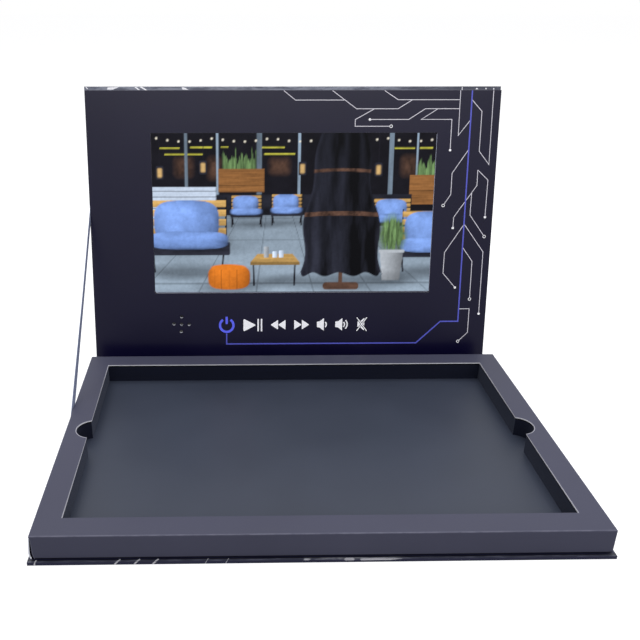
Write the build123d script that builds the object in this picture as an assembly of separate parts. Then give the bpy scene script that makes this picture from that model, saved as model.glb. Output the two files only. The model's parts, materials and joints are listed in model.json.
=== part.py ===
from build123d import *
import math
import os

# A book-style video box, open: a card tray on the base board, a screen module on the lid board.
# Millimetres. X is across, +Y goes back to the hinges, +Z is up. The origin is the middle of the
# tray on the underside of the base board. Lid pieces are laid out flat first, in (u, v, n):
# u across from the middle, v up from the module's foot, n back from its face.

# Case boards and their paper
PAPER = 0.15
BOARD_CORE = 1.7
TURN_IN = 15.0
OVERHANG = 1.9
LID_TOP_OVERHANG = 3.2
HINGE_CLEARANCE = 0.2
LID_LEAN = 11.0

# Tray
TRAY_DEPTH = 214.0
TRAY_HEIGHT = 16.1
RIM = 15.5
CAVITY_DEPTH = 13.9
CARD = 0.5
CARD_FOLD_RADIUS = 0.45
CARD_LIP = 0.3
WALL_GAP = 1.0
FLOOR_SHEET = 1.0
BOTTOM_SET_BACK = 2.0
NOTCH_RADIUS = 10.5
NOTCH_CENTRE_INSET = 2.0
MAGNET_RADIUS = 5.0
MAGNET_THICKNESS = 3.0
MAGNET_Y = 25.0
FIT_GAP = 0.1

# Screen module, made round the screen's picture with a bay at each side of the panel
CLOSED_GAP = 0.3
MODULE_THICKNESS = 8.0
MODULE_WALL_GAP = 0.6
SCREEN_WIDTH = 222.7
SCREEN_HEIGHT = 125.3
SCREEN_U = 0.65
WINDOW_MARGIN = 0.15
WINDOW_FOOT_MARGIN = 1.0
SIDE_BAY = 42.5
PANEL_SIDE_BORDER = 6.15
PANEL_TOP_BORDER = 4.8
PANEL_FOOT_BORDER = 10.1
PANEL_SHEET = 0.3
PANEL_BORE_MARGIN = 1.3
GLASS_THICKNESS = 1.4
LIGHT_GUIDE_THICKNESS = 1.7
POCKET_GAP = 0.5
DRIVER_LENGTH = 80.0
DRIVER_WIDTH = 10.0
DRIVER_THICKNESS = 1.0
DRIVER_END_U = 100.0
PAD_MARGIN = 5.0

# Sound holes and speaker
SPEAKER_U = -89.9
SPEAKER_V = 30.1
SOUND_HOLE_RADIUS = 1.4
SOUND_HOLE_PITCH = 6.2
SOUND_HOLE_TURN = -2.5
SPEAKER_RADIUS = 13.5
SPEAKER_PANEL_GAP = 3.0
SPEAKER_LEDGE = 1.9
SPEAKER_DEPTH = 3.7
SPEAKER_SHEET = 0.5
SPEAKER_MAGNET_RADIUS = 8.0
SPEAKER_MAGNET_THICKNESS = 2.0
SPEAKER_THROAT = 3.5
GASKET_THICKNESS = 0.4
CONE_SHEET = 0.2

# Keys, by their place across the lid
KEY_PLACES = {
    "power": -52.9,
    "play": -31.3,
    "rewind": -10.6,
    "forward": 8.6,
    "volume_down": 25.6,
    "volume_up": 41.6,
    "mute": 58.3,
}
KEY_V = 29.0
KEY_TRAVEL = 0.3
KEY_BOARD_WIDTH = 13.0
KEY_BOARD_END = 6.4
KEY_BOARD_THICKNESS = 1.0
SWITCH_SIZE = 6.2
SWITCH_HEIGHT = 3.0
SWITCH_ROOF = 0.5
SWITCH_FLOOR = 0.6
SWITCH_BORE = 2.4
PLUNGER_RADIUS = 1.6
PLUNGER_FLANGE = 2.2
PLUNGER_FLANGE_THICKNESS = 0.6
PLUNGER_SLACK = 0.1
PLUNGER_FIT = 0.08
DOME_RADIUS = 2.2
DOME_SHEET = 0.1

# Main board, in the right bay
BOARD_THICKNESS = 1.2
MAIN_BOARD_PANEL_GAP = 3.85
MAIN_BOARD_SIDE_GAP = 2.5
MAIN_BOARD_LENGTH = 64.0
SENSOR_FROM_FOOT = 6.0
SENSOR_WIDTH = 4.0
SENSOR_LENGTH = 3.0
SENSOR_THICKNESS = 1.2
SOCKET_FROM_FOOT = 31.85
SOCKET_WIDTH = 7.5
SOCKET_HEIGHT = 2.6
SOCKET_DEPTH = 5.6
SOCKET_SHEET = 0.3
SOCKET_REAR_WALL = 1.0
SOCKET_SLOT_GAP = 0.3
CABLE_SHEET = 0.3
CABLE_WIDTH = 6.0
CLAMP_INSET = 1.0
CLAMP_REACH = 1.5
CLAMP_SIDE = 1.0
CLAMP_HEIGHT = 1.0

# Parts on the main board's rear: the middle across and up, then the width and the length, each as
# a share of the board's own width or length, and last the height
CHIPS = (
    (0.556, 0.516, 0.338, 0.188, 1.2),
    (0.556, 0.297, 0.282, 0.125, 1.0),
    (0.838, 0.453, 0.141, 0.094, 1.0),
)
STORAGE_CHIP = (0.444, 0.828, 0.338, 0.281, 1.2)
POWER_COIL = (0.725, 0.141, 0.183, 0.101, 2.2)
CAPACITOR_ROWS = ((0.246, 0.406, 0.056, 0.02, 1.0), (0.894, 0.594, 0.045, 0.0125, 0.8))
CAPACITORS_IN_ROW = 4
CAPACITOR_PITCH = 0.0625

# Battery, in the left bay
BATTERY_SIDE_GAP = 3.0
BATTERY_PANEL_GAP = 4.65
BATTERY_FROM_PANEL_FOOT = 15.4
BATTERY_LENGTH = 115.0
BATTERY_THICKNESS = 5.2
BATTERY_EDGE = 1.5
BATTERY_PAD = 1.0
STRIP_SHARE = 2 / 3
STRIP_LENGTH = 3.5
STRIP_FRONT_GAP = 1.0
LEAD_RADIUS = 0.6
SPEAKER_LEAD_RADIUS = 0.45
LEAD_BEND = 2.5
LEAD_RISE_INSET = 1.0
PLUG_LENGTH = 6.0
PLUG_HEIGHT = 2.6
PLUG_INSET = 1.0

# Stay ribbon at the left side
RIBBON_WIDTH = 6.0
RIBBON_SHEET = 0.4
RIBBON_SIDE_GAP = 0.15
RIBBON_BASE_Y = 12.3
RIBBON_LID_V = 128.0
RIBBON_TAB = 12.0
RIBBON_FOLD_HEIGHT = 20.8

# Levels and lines that follow from these sizes
TRAY_WIDTH = SCREEN_WIDTH + 2 * (PANEL_SIDE_BORDER + SIDE_BAY)
BOARD = BOARD_CORE + 2 * PAPER
HINGE_GAP = BOARD + HINGE_CLEARANCE
TRAY_TOP = BOARD + TRAY_HEIGHT
FLOOR_TOP = TRAY_TOP - CAVITY_DEPTH
CASE_HALF = TRAY_WIDTH / 2 + OVERHANG
CASE_FRONT = -TRAY_DEPTH / 2 - OVERHANG
STACK = TRAY_TOP + CLOSED_GAP + MODULE_THICKNESS + BOARD
HINGE_A_Y = TRAY_DEPTH / 2 + HINGE_GAP
HINGE_B_Y = HINGE_A_Y + STACK
SPINE_Y0 = HINGE_A_Y + HINGE_GAP
SPINE_Y1 = HINGE_B_Y - HINGE_GAP
RIM_MIDDLE = TRAY_WIDTH / 2 - (RIM + CARD - CARD_LIP) / 2
CARD_HALF_U = TRAY_WIDTH / 2
PANEL_U0 = SCREEN_U - SCREEN_WIDTH / 2 - PANEL_SIDE_BORDER
PANEL_U1 = SCREEN_U + SCREEN_WIDTH / 2 + PANEL_SIDE_BORDER
PANEL_V0 = SPEAKER_V + SPEAKER_RADIUS + SPEAKER_PANEL_GAP
SCREEN_FOOT = PANEL_V0 + PANEL_FOOT_BORDER
SCREEN_V = SCREEN_FOOT + SCREEN_HEIGHT / 2
SCREEN_TOP = SCREEN_FOOT + SCREEN_HEIGHT
PANEL_V1 = SCREEN_TOP + PANEL_TOP_BORDER
GLASS_N = CARD + PANEL_SHEET
GUIDE_N = GLASS_N + GLASS_THICKNESS
SHELL_N = GUIDE_N + LIGHT_GUIDE_THICKNESS
PANEL_BACK_N = SHELL_N + PANEL_SHEET
KEY_BOARD_U0 = min(KEY_PLACES.values()) - KEY_BOARD_END
KEY_BOARD_U1 = max(KEY_PLACES.values()) + KEY_BOARD_END
BOARD_REAR_N = PANEL_BACK_N + DRIVER_THICKNESS
CABLE_BACK_N = BOARD_REAR_N + CABLE_SHEET
LEAD_N = CABLE_BACK_N + LEAD_RADIUS + 2 * FIT_GAP
LEAD_PITCH = 4 * LEAD_RADIUS
SPEAKER_LEAD_PITCH = 3 * SPEAKER_LEAD_RADIUS
BATTERY_U0 = -CARD_HALF_U + BATTERY_SIDE_GAP
BATTERY_U1 = PANEL_U0 - BATTERY_PANEL_GAP
BATTERY_V0 = PANEL_V0 + BATTERY_FROM_PANEL_FOOT
BATTERY_V1 = BATTERY_V0 + BATTERY_LENGTH
BATTERY_N = CARD + BATTERY_PAD
SENSOR_V = TRAY_DEPTH / 2 - MAGNET_Y
MAIN_BOARD_U0 = PANEL_U1 + MAIN_BOARD_PANEL_GAP
MAIN_BOARD_U1 = CARD_HALF_U - MAIN_BOARD_SIDE_GAP
MAIN_BOARD_V0 = SENSOR_V - SENSOR_FROM_FOOT
MAIN_BOARD_V1 = MAIN_BOARD_V0 + MAIN_BOARD_LENGTH
SOCKET_V = MAIN_BOARD_V0 + SOCKET_FROM_FOOT
PLUG_U0 = MAIN_BOARD_U0 + PLUG_INSET

# The leaning lid: directions up the lid and out of its back, and the foot of the module's face
LEAN = math.radians(LID_LEAN)
UP = Vector(0, math.sin(LEAN), math.cos(LEAN))
BACK = Vector(0, math.cos(LEAN), -math.sin(LEAN))
FOOT = Vector(0, HINGE_B_Y, 0) - BACK * (MODULE_THICKNESS + BOARD) + UP * HINGE_GAP
LID_PLACE = Plane(origin=FOOT, x_dir=(1, 0, 0), z_dir=-BACK).location


def block(x0, x1, y0, y1, z0, z1):
    """A box between two corners."""
    middle = ((x0 + x1) / 2, (y0 + y1) / 2, (z0 + z1) / 2)
    return Pos(*middle) * Box(x1 - x0, y1 - y0, z1 - z0)


def disc(x, y, z0, z1, radius):
    """An upright cylinder."""
    return Pos(x, y, (z0 + z1) / 2) * Cylinder(radius, z1 - z0)


def deep(u0, u1, v0, v1, n0, n1):
    """A box of the flat module, from depth n0 to depth n1."""
    return block(u0, u1, v0, v1, -n1, -n0)


def bored(u, v, n0, n1, radius):
    """A cylinder of the flat module, from depth n0 to depth n1."""
    return disc(u, v, -n1, -n0, radius)


def turned(profile, u, v):
    """A round piece of the flat module, from its outline of radius and depth."""
    outline = Polyline(*[(radius, 0, -n) for radius, n in profile], close=True)
    return Pos(u, v, 0) * revolve(make_face(outline), Axis.Z)


def lead(points, radius):
    """One round wire along straight runs joined by arcs."""
    path = FilletPolyline(*points, radius=LEAD_BEND)
    section = Plane(origin=path @ 0, z_dir=path % 0) * Circle(radius)
    return sweep(section, path)


def wrapped_board(y0, y1, front_wrapped, back_wrapped, foot_lift=0.0):
    """Core, outer wrap and inner lining of one case board, its outer side down on z = 0.

    A wrapped edge has the wrap round it and a turn-in on the inner side. At a hinge edge the
    wrap runs on flat and the lining turns down over the edge of the core.
    """
    half = CASE_HALF
    low = y0 + (PAPER if front_wrapped else foot_lift)
    high = y1 - (PAPER if back_wrapped else 0)
    core_low = low + (0 if front_wrapped else PAPER)
    core_high = high - (0 if back_wrapped else PAPER)
    open_low = y0 + TURN_IN if front_wrapped else low
    open_high = y1 - TURN_IN if back_wrapped else high
    core = block(-half + PAPER, half - PAPER, core_low, core_high, PAPER, BOARD - PAPER)
    inside = block(-half + PAPER, half - PAPER, low, high, PAPER, BOARD - PAPER)
    opening = block(-half + TURN_IN, half - TURN_IN, open_low, open_high, BOARD - PAPER, BOARD)
    wrap = block(-half, half, y0, y1, 0, BOARD) - inside - opening
    lining = opening
    if not back_wrapped:
        lining += block(-half + PAPER, half - PAPER, core_high, high, PAPER, BOARD - PAPER)
    if foot_lift > 0:
        wrap -= block(-half, half, y0, low, PAPER, BOARD)
    if not front_wrapped:
        lining += block(-half + PAPER, half - PAPER, low, core_low, PAPER, BOARD - PAPER)
    return core, wrap, lining


def case_pieces():
    """The three boards with their papers, and the two paper hinges."""
    base = wrapped_board(CASE_FRONT, HINGE_A_Y, True, False)
    spine = wrapped_board(SPINE_Y0, SPINE_Y1, False, False)
    lid = wrapped_board(-HINGE_GAP, TRAY_DEPTH + LID_TOP_OVERHANG, False, True, foot_lift=PAPER)
    to_lid = LID_PLACE * Pos(0, 0, -MODULE_THICKNESS - BOARD)
    pieces = {}
    for name, (core, wrap, lining), place in (
        ("base", base, Pos(0, 0, 0)),
        ("spine", spine, Pos(0, 0, 0)),
        ("lid", lid, to_lid),
    ):
        pieces[name + "_board"] = place * core
        pieces[name + "_wrap"] = place * wrap
        pieces[name + "_lining"] = place * lining
    pieces["base_hinge_paper"] = block(-CASE_HALF, CASE_HALF, HINGE_A_Y, SPINE_Y0, 0, PAPER)
    lid_side = HINGE_B_Y - PAPER
    pieces["lid_hinge_paper"] = block(-CASE_HALF, CASE_HALF, SPINE_Y1, lid_side, 0, PAPER)
    return pieces


def tray_opening(set_back, z0, z1):
    """The space of the cavity and its two thumb notches, grown by set_back."""
    half_x = TRAY_WIDTH / 2 - RIM + set_back
    half_y = TRAY_DEPTH / 2 - RIM + set_back
    space = block(-half_x, half_x, -half_y, half_y, z0, z1)
    notch_x = TRAY_WIDTH / 2 - RIM - NOTCH_CENTRE_INSET
    for side in (-1, 1):
        space += disc(side * notch_x, 0, z0, z1, NOTCH_RADIUS + set_back)
    return space


def folded_card(half_x, y0, y1, top, bottom):
    """A card sheet with four walls folded down, closed on top."""
    shell = block(-half_x, half_x, y0, y1, bottom, top)
    upper = shell.edges().group_by(Axis.Z)[-1]
    upright = shell.edges().filter_by(Axis.Z)
    shell = fillet(upper + upright, CARD_FOLD_RADIUS)
    return shell - block(-half_x + CARD, half_x - CARD, y0 + CARD, y1 - CARD, bottom, top - CARD)


def tray_pieces():
    """The tray: bottom board, floor sheet, foam walls, printed cover card and switch magnet."""
    half_x = TRAY_WIDTH / 2
    half_y = TRAY_DEPTH / 2
    bottom_x = half_x - BOTTOM_SET_BACK
    bottom_y = half_y - BOTTOM_SET_BACK
    floor_low = FLOOR_TOP - FLOOR_SHEET
    bottom = block(-bottom_x, bottom_x, -bottom_y, bottom_y, BOARD, floor_low)
    tab_half = ribbon_cut_half() + FIT_GAP
    tab_x = -half_x + RIBBON_TAB + FIT_GAP
    tab_y0 = RIBBON_BASE_Y - tab_half
    tab_y1 = RIBBON_BASE_Y + tab_half
    bottom -= block(-half_x, tab_x, tab_y0, tab_y1, BOARD, BOARD + RIBBON_SHEET + FIT_GAP)
    floor = block(-half_x + CARD, half_x - CARD, -half_y + CARD, half_y - CARD, floor_low, FLOOR_TOP)
    foam_top = TRAY_TOP - CARD
    foam = block(-half_x + CARD, half_x - CARD, -half_y + CARD, half_y - CARD, FLOOR_TOP, foam_top)
    foam -= tray_opening(CARD_LIP, FLOOR_TOP, foam_top)
    magnet_low = foam_top - MAGNET_THICKNESS
    pocket_low = magnet_low - FIT_GAP
    foam -= disc(RIM_MIDDLE, MAGNET_Y, pocket_low, foam_top, MAGNET_RADIUS + FIT_GAP)
    card = folded_card(half_x, -half_y, half_y, TRAY_TOP, BOARD + WALL_GAP)
    card -= tray_opening(0, foam_top, TRAY_TOP)
    return {
        "tray_bottom_board": bottom,
        "tray_floor_sheet": floor,
        "tray_foam_frame": foam,
        "tray_cover_card": card,
        "tray_switch_magnet": disc(RIM_MIDDLE, MAGNET_Y, magnet_low, foam_top, MAGNET_RADIUS),
    }


def sound_holes(n0, n1, radius):
    """Five holes in a plus over the speaker, turned a little as they were punched."""
    turn = math.radians(SOUND_HOLE_TURN)
    reach_u = SOUND_HOLE_PITCH * math.cos(turn)
    reach_v = SOUND_HOLE_PITCH * math.sin(turn)
    holes = bored(SPEAKER_U, SPEAKER_V, n0, n1, radius)
    for du, dv in ((reach_u, reach_v), (-reach_u, -reach_v), (-reach_v, reach_u), (reach_v, -reach_u)):
        holes += bored(SPEAKER_U + du, SPEAKER_V + dv, n0, n1, radius)
    return holes


def socket_slot(n_gap):
    """The room for the charging socket from the main board out through the right wall."""
    side = SOCKET_WIDTH / 2 + n_gap
    front_n = BOARD_REAR_N - BOARD_THICKNESS - SOCKET_HEIGHT - n_gap
    back_n = BOARD_REAR_N - BOARD_THICKNESS + n_gap
    inner_u = MAIN_BOARD_U1 - SOCKET_DEPTH
    return deep(inner_u, CARD_HALF_U + n_gap, SOCKET_V - side, SOCKET_V + side, front_n, back_n)


def module_shell():
    """The printed face card with its folded walls, and the foam frame with a pocket for each part."""
    wall_n = MODULE_THICKNESS - MODULE_WALL_GAP
    card = folded_card(CARD_HALF_U, 0, TRAY_DEPTH, 0, -wall_n)
    window_u = SCREEN_WIDTH / 2 + WINDOW_MARGIN
    window_v0 = SCREEN_FOOT - WINDOW_FOOT_MARGIN
    window_v1 = SCREEN_TOP + WINDOW_MARGIN
    card -= deep(SCREEN_U - window_u, SCREEN_U + window_u, window_v0, window_v1, 0, CARD)
    card -= sound_holes(0, CARD, SOUND_HOLE_RADIUS)
    card -= socket_slot(SOCKET_SLOT_GAP)

    half_u = CARD_HALF_U - CARD
    back_n = MODULE_THICKNESS
    foam = deep(-half_u, half_u, CARD, TRAY_DEPTH - CARD, CARD, back_n)
    gap = POCKET_GAP
    foam -= deep(PANEL_U0 - gap, PANEL_U1 + gap, PANEL_V0 - gap, PANEL_V1 + gap, CARD, back_n)
    battery_foot = PANEL_V0 + gap
    foam -= deep(BATTERY_U0 - gap, BATTERY_U1 + gap, battery_foot, BATTERY_V1 + gap, CARD, back_n)
    board_u0 = MAIN_BOARD_U0 - gap
    board_u1 = MAIN_BOARD_U1 + gap
    foam -= deep(board_u0, board_u1, KEY_V - KEY_BOARD_WIDTH / 2 - gap, MAIN_BOARD_V1 + gap, CARD, back_n)
    key_v0 = KEY_V - KEY_BOARD_WIDTH / 2 - gap
    key_v1 = KEY_V + KEY_BOARD_WIDTH / 2 + gap
    foam -= deep(KEY_BOARD_U0 - gap, KEY_BOARD_U1 + gap, key_v0, key_v1, CARD, back_n)
    foam -= bored(SPEAKER_U, SPEAKER_V, CARD, back_n, SPEAKER_RADIUS + gap)
    # Channels at the back for the leads and cables
    channel_n = BOARD_REAR_N - gap
    foam -= deep(BATTERY_U1, PANEL_U0, battery_foot, BATTERY_V0, channel_n, back_n)
    cable_top = MAIN_BOARD_V0 + 2 * CABLE_WIDTH + gap
    foam -= deep(PANEL_U1, board_u0, PANEL_V0, cable_top, channel_n, back_n)
    slot_half = 2 * SPEAKER_LEAD_PITCH
    foam -= deep(SPEAKER_U - slot_half, SPEAKER_U + slot_half, SPEAKER_V, PANEL_V0, channel_n, back_n)
    cable_half = CABLE_WIDTH / 2 + gap
    foam -= deep(KEY_BOARD_U1, board_u0, KEY_V - cable_half, KEY_V + cable_half, channel_n, back_n)
    foam -= socket_slot(SOCKET_SLOT_GAP)
    tab_half = ribbon_tab_half() + FIT_GAP
    tab_v0 = RIBBON_LID_V - tab_half
    tab_v1 = RIBBON_LID_V + tab_half
    tab_u = -CARD_HALF_U + RIBBON_TAB + FIT_GAP
    foam -= deep(-CARD_HALF_U, tab_u, tab_v0, tab_v1, back_n - RIBBON_SHEET - FIT_GAP, back_n)
    return {"module_face_card": card, "module_foam_frame": foam}


def screen_pieces():
    """The screen panel, front to back, with its driver board, cable and backing pads."""
    outer = deep(PANEL_U0, PANEL_U1, PANEL_V0, PANEL_V1, CARD, SHELL_N)
    sheet = PANEL_SHEET
    u0, u1 = PANEL_U0 + sheet, PANEL_U1 - sheet
    v0, v1 = PANEL_V0 + sheet, PANEL_V1 - sheet
    bore_u = SCREEN_WIDTH / 2 + PANEL_BORE_MARGIN
    bore_v = SCREEN_HEIGHT / 2 + PANEL_BORE_MARGIN
    bezel = outer - deep(u0, u1, v0, v1, GLASS_N, SHELL_N)
    bezel -= deep(
        SCREEN_U - bore_u, SCREEN_U + bore_u, SCREEN_V - bore_v, SCREEN_V + bore_v, CARD, GLASS_N
    )
    back_n = PANEL_BACK_N
    driver_v0 = PANEL_V0 + sheet + FIT_GAP
    driver_v1 = driver_v0 + DRIVER_WIDTH
    driver = deep(DRIVER_END_U - DRIVER_LENGTH, DRIVER_END_U, driver_v0, driver_v1, back_n, BOARD_REAR_N)
    # The cable leaves the driver board along its upper half, turns up and goes right to the main board
    cable_u1 = PANEL_U1 - 2 * FIT_GAP
    cable_u0 = cable_u1 - CABLE_WIDTH
    cable_v1 = driver_v1
    cable_v0 = cable_v1 - CABLE_WIDTH
    end_v0 = MAIN_BOARD_V0 + CABLE_WIDTH
    end_v1 = end_v0 + CABLE_WIDTH
    cable_end = MAIN_BOARD_U0 + CABLE_WIDTH / 2
    rear = BOARD_REAR_N
    cable = deep(DRIVER_END_U - CABLE_WIDTH, cable_u1, cable_v0, cable_v1, rear, CABLE_BACK_N)
    cable += deep(cable_u0, cable_u1, cable_v0, end_v1, rear, CABLE_BACK_N)
    cable += deep(cable_u0, cable_end, end_v0, end_v1, rear, CABLE_BACK_N)
    pad_u0 = PANEL_U0 + PAD_MARGIN
    pad_u1 = cable_u0 - PAD_MARGIN
    pad_v0 = driver_v1 + PAD_MARGIN
    pad_v1 = PANEL_V1 - PAD_MARGIN
    pad_split = (pad_v0 + pad_v1) / 2
    pads = deep(pad_u0, pad_u1, pad_v0, pad_split - PAD_MARGIN, back_n, MODULE_THICKNESS)
    pads += deep(pad_u0, pad_u1, pad_split + PAD_MARGIN, pad_v1, back_n, MODULE_THICKNESS)
    return {
        "screen_bezel": bezel,
        "screen_glass": deep(u0, u1, v0, v1, GLASS_N, GUIDE_N),
        "screen_light_guide": deep(u0, u1, v0, v1, GUIDE_N, SHELL_N),
        "screen_back_shell": deep(PANEL_U0, PANEL_U1, PANEL_V0, PANEL_V1, SHELL_N, back_n),
        "screen_driver_board": driver,
        "screen_cable": cable,
        "screen_backing_pads": pads,
    }


def speaker_pieces():
    """The speaker behind the sound holes: gasket, frame, cone, magnet and leads."""
    face = CARD + GASKET_THICKNESS
    radius = SPEAKER_RADIUS
    inner = radius - SPEAKER_LEDGE
    sheet = SPEAKER_SHEET
    back = face + SPEAKER_DEPTH
    seat = SPEAKER_MAGNET_RADIUS + 2 * sheet
    frame = [
        (inner, face),
        (radius, face),
        (radius, face + 2 * sheet),
        (inner + 2 * sheet, face + 2 * sheet),
        (seat, back),
        (SPEAKER_THROAT, back),
        (SPEAKER_THROAT, back - sheet),
        (seat - sheet, back - sheet),
        (inner, face + sheet + FIT_GAP),
    ]
    top = face + FIT_GAP / 2
    cap = SPEAKER_THROAT + sheet
    cone_foot = face + SPEAKER_DEPTH / 2
    cone = [
        (inner, top),
        (inner - 2 * sheet, top),
        (cap, cone_foot - CONE_SHEET),
        (0, face + SPEAKER_DEPTH / 4),
        (0, face + SPEAKER_DEPTH / 4 + CONE_SHEET),
        (cap - FIT_GAP, cone_foot),
        (inner - 2 * sheet, top + CONE_SHEET),
        (inner, top + CONE_SHEET),
    ]
    magnet_n = back + SPEAKER_MAGNET_THICKNESS
    gasket = bored(SPEAKER_U, SPEAKER_V, CARD, face, radius)
    gasket -= bored(SPEAKER_U, SPEAKER_V, CARD, face, inner)
    wires = []
    lead_z = -BOARD_REAR_N - SPEAKER_LEAD_RADIUS
    start_v = SPEAKER_V + SPEAKER_MAGNET_RADIUS + 2 * FIT_GAP
    step = SPEAKER_LEAD_PITCH
    end_v = MAIN_BOARD_V0 + 2 * SPEAKER_LEAD_RADIUS
    for index in range(2):
        across = SPEAKER_U - index * step
        run_v = PANEL_V0 + SPEAKER_LEAD_RADIUS + FIT_GAP + index * step
        rise_u = PLUG_U0 + PLUG_LENGTH + (2 - index) * step
        wires.append(
            lead(
                [
                    (across, start_v, lead_z),
                    (across, run_v, lead_z),
                    (rise_u, run_v, lead_z),
                    (rise_u, end_v, lead_z),
                ],
                SPEAKER_LEAD_RADIUS,
            )
        )
    return {
        "speaker_gasket": gasket,
        "speaker_frame": turned(frame, SPEAKER_U, SPEAKER_V),
        "speaker_cone": turned(cone, SPEAKER_U, SPEAKER_V),
        "speaker_magnet": bored(SPEAKER_U, SPEAKER_V, back, magnet_n, SPEAKER_MAGNET_RADIUS),
        "speaker_leads": Compound(children=wires),
    }


def key_pieces():
    """The key board with seven switches, and one plunger under each printed icon."""
    board_n0 = BOARD_REAR_N - KEY_BOARD_THICKNESS
    half_v = KEY_BOARD_WIDTH / 2
    board = deep(KEY_BOARD_U0, KEY_BOARD_U1, KEY_V - half_v, KEY_V + half_v, board_n0, BOARD_REAR_N)
    face = board_n0 - SWITCH_HEIGHT
    bore_n0 = face + SWITCH_ROOF
    bore_n1 = board_n0 - SWITCH_FLOOR
    plunger_n0 = CARD + PLUNGER_SLACK
    flange_n0 = bore_n0 + 2 * PLUNGER_SLACK
    flange_n1 = flange_n0 + PLUNGER_FLANGE_THICKNESS
    dome_n0 = flange_n1 + KEY_TRAVEL + PLUNGER_SLACK / 2
    pieces = {}
    bodies = []
    domes = []
    half = SWITCH_SIZE / 2
    for name, u in KEY_PLACES.items():
        body = deep(u - half, u + half, KEY_V - half, KEY_V + half, face, board_n0)
        body = fillet(body.edges().filter_by(Axis.Z), SWITCH_ROOF)
        body -= bored(u, KEY_V, bore_n0, bore_n1, SWITCH_BORE)
        body -= bored(u, KEY_V, face, bore_n0, PLUNGER_RADIUS + PLUNGER_FIT)
        bodies.append(body)
        dome = [
            (0, dome_n0),
            (DOME_RADIUS / 2, dome_n0),
            (DOME_RADIUS, bore_n1 - DOME_SHEET),
            (DOME_RADIUS, bore_n1),
            (DOME_RADIUS / 2, dome_n0 + DOME_SHEET),
            (0, dome_n0 + DOME_SHEET),
        ]
        domes.append(turned(dome, u, KEY_V))
        plunger = bored(u, KEY_V, plunger_n0, flange_n1, PLUNGER_RADIUS)
        plunger += bored(u, KEY_V, flange_n0, flange_n1, PLUNGER_FLANGE)
        pieces[name + "_key"] = plunger
    cable_half = CABLE_WIDTH / 2
    cable_start = KEY_BOARD_U1 - CABLE_WIDTH
    rise_u1 = MAIN_BOARD_U1 - CABLE_WIDTH
    rise_u0 = rise_u1 - CABLE_WIDTH
    cable = deep(cable_start, rise_u1, KEY_V - cable_half, KEY_V + cable_half, BOARD_REAR_N, CABLE_BACK_N)
    cable += deep(
        rise_u0, rise_u1, KEY_V - cable_half, MAIN_BOARD_V0 + cable_half, BOARD_REAR_N, CABLE_BACK_N
    )
    pieces["key_board"] = board
    pieces["key_switch_bodies"] = Compound(children=bodies)
    pieces["key_switch_domes"] = Compound(children=domes)
    pieces["key_cable"] = cable
    return pieces


def raised(u0, u1, v0, v1, height):
    """A block on the rear of the main board."""
    return deep(u0, u1, v0, v1, BOARD_REAR_N, BOARD_REAR_N + height)


def package(across, up, width, length, height):
    """One part on the rear of the main board, its place and size in shares of the board."""
    board_width = MAIN_BOARD_U1 - MAIN_BOARD_U0
    u = MAIN_BOARD_U0 + across * board_width
    v = MAIN_BOARD_V0 + up * MAIN_BOARD_LENGTH
    half_u = width * board_width / 2
    half_v = length * MAIN_BOARD_LENGTH / 2
    return raised(u - half_u, u + half_u, v - half_v, v + half_v, height)


def cable_clamp_pieces():
    """Two low clamps over the ends of the screen cable and the key cable."""
    half = CABLE_WIDTH / 2
    side = half + CLAMP_SIDE
    reach = half + CLAMP_REACH
    height = CABLE_SHEET + CLAMP_HEIGHT
    v = MAIN_BOARD_V0 + 1.5 * CABLE_WIDTH
    screen_clamp = raised(MAIN_BOARD_U0 + CLAMP_INSET, MAIN_BOARD_U0 + reach, v - side, v + side, height)
    screen_clamp -= raised(MAIN_BOARD_U0, MAIN_BOARD_U0 + half, v - half, v + half, CABLE_SHEET)
    u = MAIN_BOARD_U1 - 1.5 * CABLE_WIDTH
    key_clamp = raised(u - side, u + side, MAIN_BOARD_V0 + CLAMP_INSET, MAIN_BOARD_V0 + reach, height)
    key_clamp -= raised(u - half, u + half, MAIN_BOARD_V0, MAIN_BOARD_V0 + half, CABLE_SHEET)
    return Compound(children=[screen_clamp, key_clamp])


def charging_socket_piece():
    """The charging socket on the main board's front, its mouth towards the right wall."""
    front_n = BOARD_REAR_N - BOARD_THICKNESS
    low_n = front_n - SOCKET_HEIGHT
    u1 = CARD_HALF_U - CARD - FIT_GAP
    u0 = u1 - SOCKET_DEPTH
    rear_u = u0 + SOCKET_REAR_WALL
    half = SOCKET_WIDTH / 2
    sheet = SOCKET_SHEET
    shell = deep(u0, u1, SOCKET_V - half, SOCKET_V + half, low_n, front_n)
    shell = fillet(shell.edges().filter_by(Axis.X), 2 * sheet)
    bore_half = half - sheet
    shell -= deep(rear_u, u1, SOCKET_V - bore_half, SOCKET_V + bore_half, low_n + sheet, front_n - sheet)
    tongue_n = (low_n + front_n) / 2
    tongue_u1 = u1 - SOCKET_REAR_WALL
    tongue_half = half / 2
    shell += deep(
        rear_u, tongue_u1, SOCKET_V - tongue_half, SOCKET_V + tongue_half, tongue_n - sheet, tongue_n + sheet
    )
    return shell


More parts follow.
